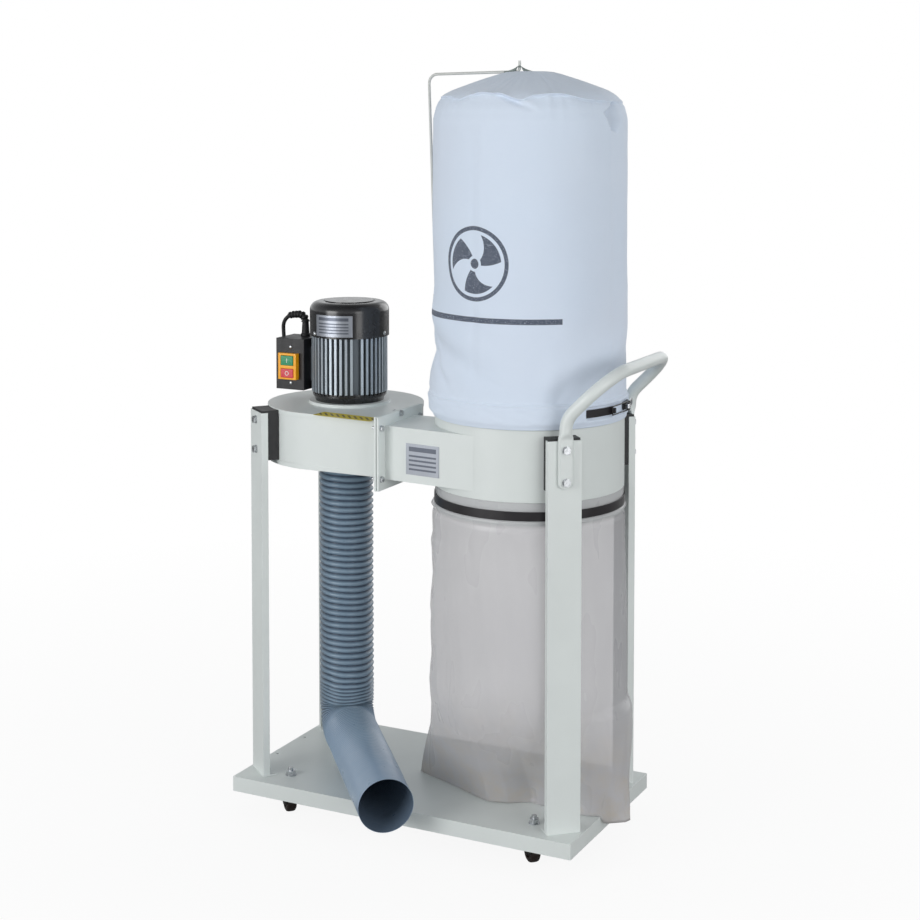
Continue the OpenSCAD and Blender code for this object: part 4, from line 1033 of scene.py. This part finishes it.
def make_floor():
    """Pale floor that fades into the background. It lights the machine like a grey floor does."""
    mesh = bpy.data.meshes.new("floor")
    bm = bmesh.new()
    bmesh.ops.create_circle(bm, cap_ends=True, segments=64, radius=40)
    bm.to_mesh(mesh)
    bm.free()
    o = bpy.data.objects.new("floor", mesh)
    bpy.context.scene.collection.objects.link(o)
    g = Graph("floor_paint", rough=0.9, specular=0.1)
    seen = g.node("ShaderNodeLightPath", "Is Camera Ray")
    g.set(color=g.mix(seen, (0.42, 0.42, 0.42), (0.90, 0.90, 0.90)))
    x, y, _ = g.axes()
    glow = g.node("ShaderNodeEmission", inputs={"Color": (1, 1, 1), "Strength": 1.0})
    fade = g.times(g.span(g.distance(x, y), 0.5, 2.4, 0.91, 1.0), seen)
    both = g.node("ShaderNodeMixShader", inputs={0: fade, 1: g.shader.outputs[0], 2: glow})
    g.plug(g.tree.nodes["Material Output"].inputs[0], both)
    mesh.materials.append(g.material)


def make_world():
    """Even studio surround, brighter at eye level than overhead; white where the camera sees it."""
    world = bpy.data.worlds.new("studio")
    bpy.context.scene.world = world
    world.use_nodes = True
    tree = world.node_tree
    tree.nodes.clear()
    out = tree.nodes.new("ShaderNodeOutputWorld")
    geometry = tree.nodes.new("ShaderNodeTexCoord")
    split = tree.nodes.new("ShaderNodeSeparateXYZ")
    height = tree.nodes.new("ShaderNodeMapRange")
    lit = tree.nodes.new("ShaderNodeBackground")
    seen = tree.nodes.new("ShaderNodeBackground")
    path = tree.nodes.new("ShaderNodeLightPath")
    mix = tree.nodes.new("ShaderNodeMixShader")
    for socket, value in ((height.inputs[1], 0.0), (height.inputs[2], 1.0),
                          (height.inputs[3], 0.86), (height.inputs[4], 0.17)):
        socket.default_value = value
    lit.inputs[0].default_value = (0.97, 0.985, 1.0, 1)
    seen.inputs[0].default_value = (1, 1, 1, 1)
    for a, b in ((geometry.outputs["Generated"], split.inputs[0]), (split.outputs[2], height.inputs[0]),
                 (height.outputs[0], lit.inputs[1]), (path.outputs["Is Camera Ray"], mix.inputs[0]),
                 (lit.outputs[0], mix.inputs[1]), (seen.outputs[0], mix.inputs[2]),
                 (mix.outputs[0], out.inputs[0])):
        tree.links.new(a, b)


def area_light(name, place, target, size, power):
    data = bpy.data.lights.new(name, "AREA")
    data.size = size
    data.energy = power
    o = bpy.data.objects.new(name, data)
    o.location = place
    o.rotation_mode = "QUATERNION"
    o.rotation_quaternion = (Vector(target) - Vector(place)).to_track_quat("-Z", "Y")
    bpy.context.scene.collection.objects.link(o)


def make_camera():
    """Camera with a risen lens board, which keeps uprights nearly parallel. The rise holds at this place
    only, so a camera moved elsewhere looks straight ahead."""
    data = bpy.data.cameras.new("camera")
    data.lens = LENS
    data.sensor_width = 36
    data.clip_end = 100
    o = bpy.data.objects.new("camera", data)
    o.location = EYE
    o.rotation_mode = "QUATERNION"
    o.rotation_quaternion = LOOK.to_track_quat("-Z", "Y")
    bpy.context.scene.collection.objects.link(o)
    bpy.context.scene.camera = o
    for path, value in (("shift_x", SHIFT[0]), ("shift_y", SHIFT[1])):
        driver = data.driver_add(path).driver
        driver.type = "SCRIPTED"
        place = driver.variables.new()
        place.name = "y"
        place.type = "TRANSFORMS"
        place.targets[0].id = o
        place.targets[0].transform_type = "LOC_Y"
        driver.expression = f"{value} * (abs(y + {-EYE.y}) < 0.001)"


make_floor()
make_world()
area_light("key", (-1.6, -3.4, 1.4), (0, 0, 0.8), 2.0, 58)
area_light("fill", (3.4, -1.6, 1.2), (0, 0, 0.8), 2.4, 40)
area_light("back", (0.6, 3.2, 1.8), (0, 0, 0.9), 2.4, 22)
make_camera()
bpy.context.scene.view_settings.view_transform = "Standard"
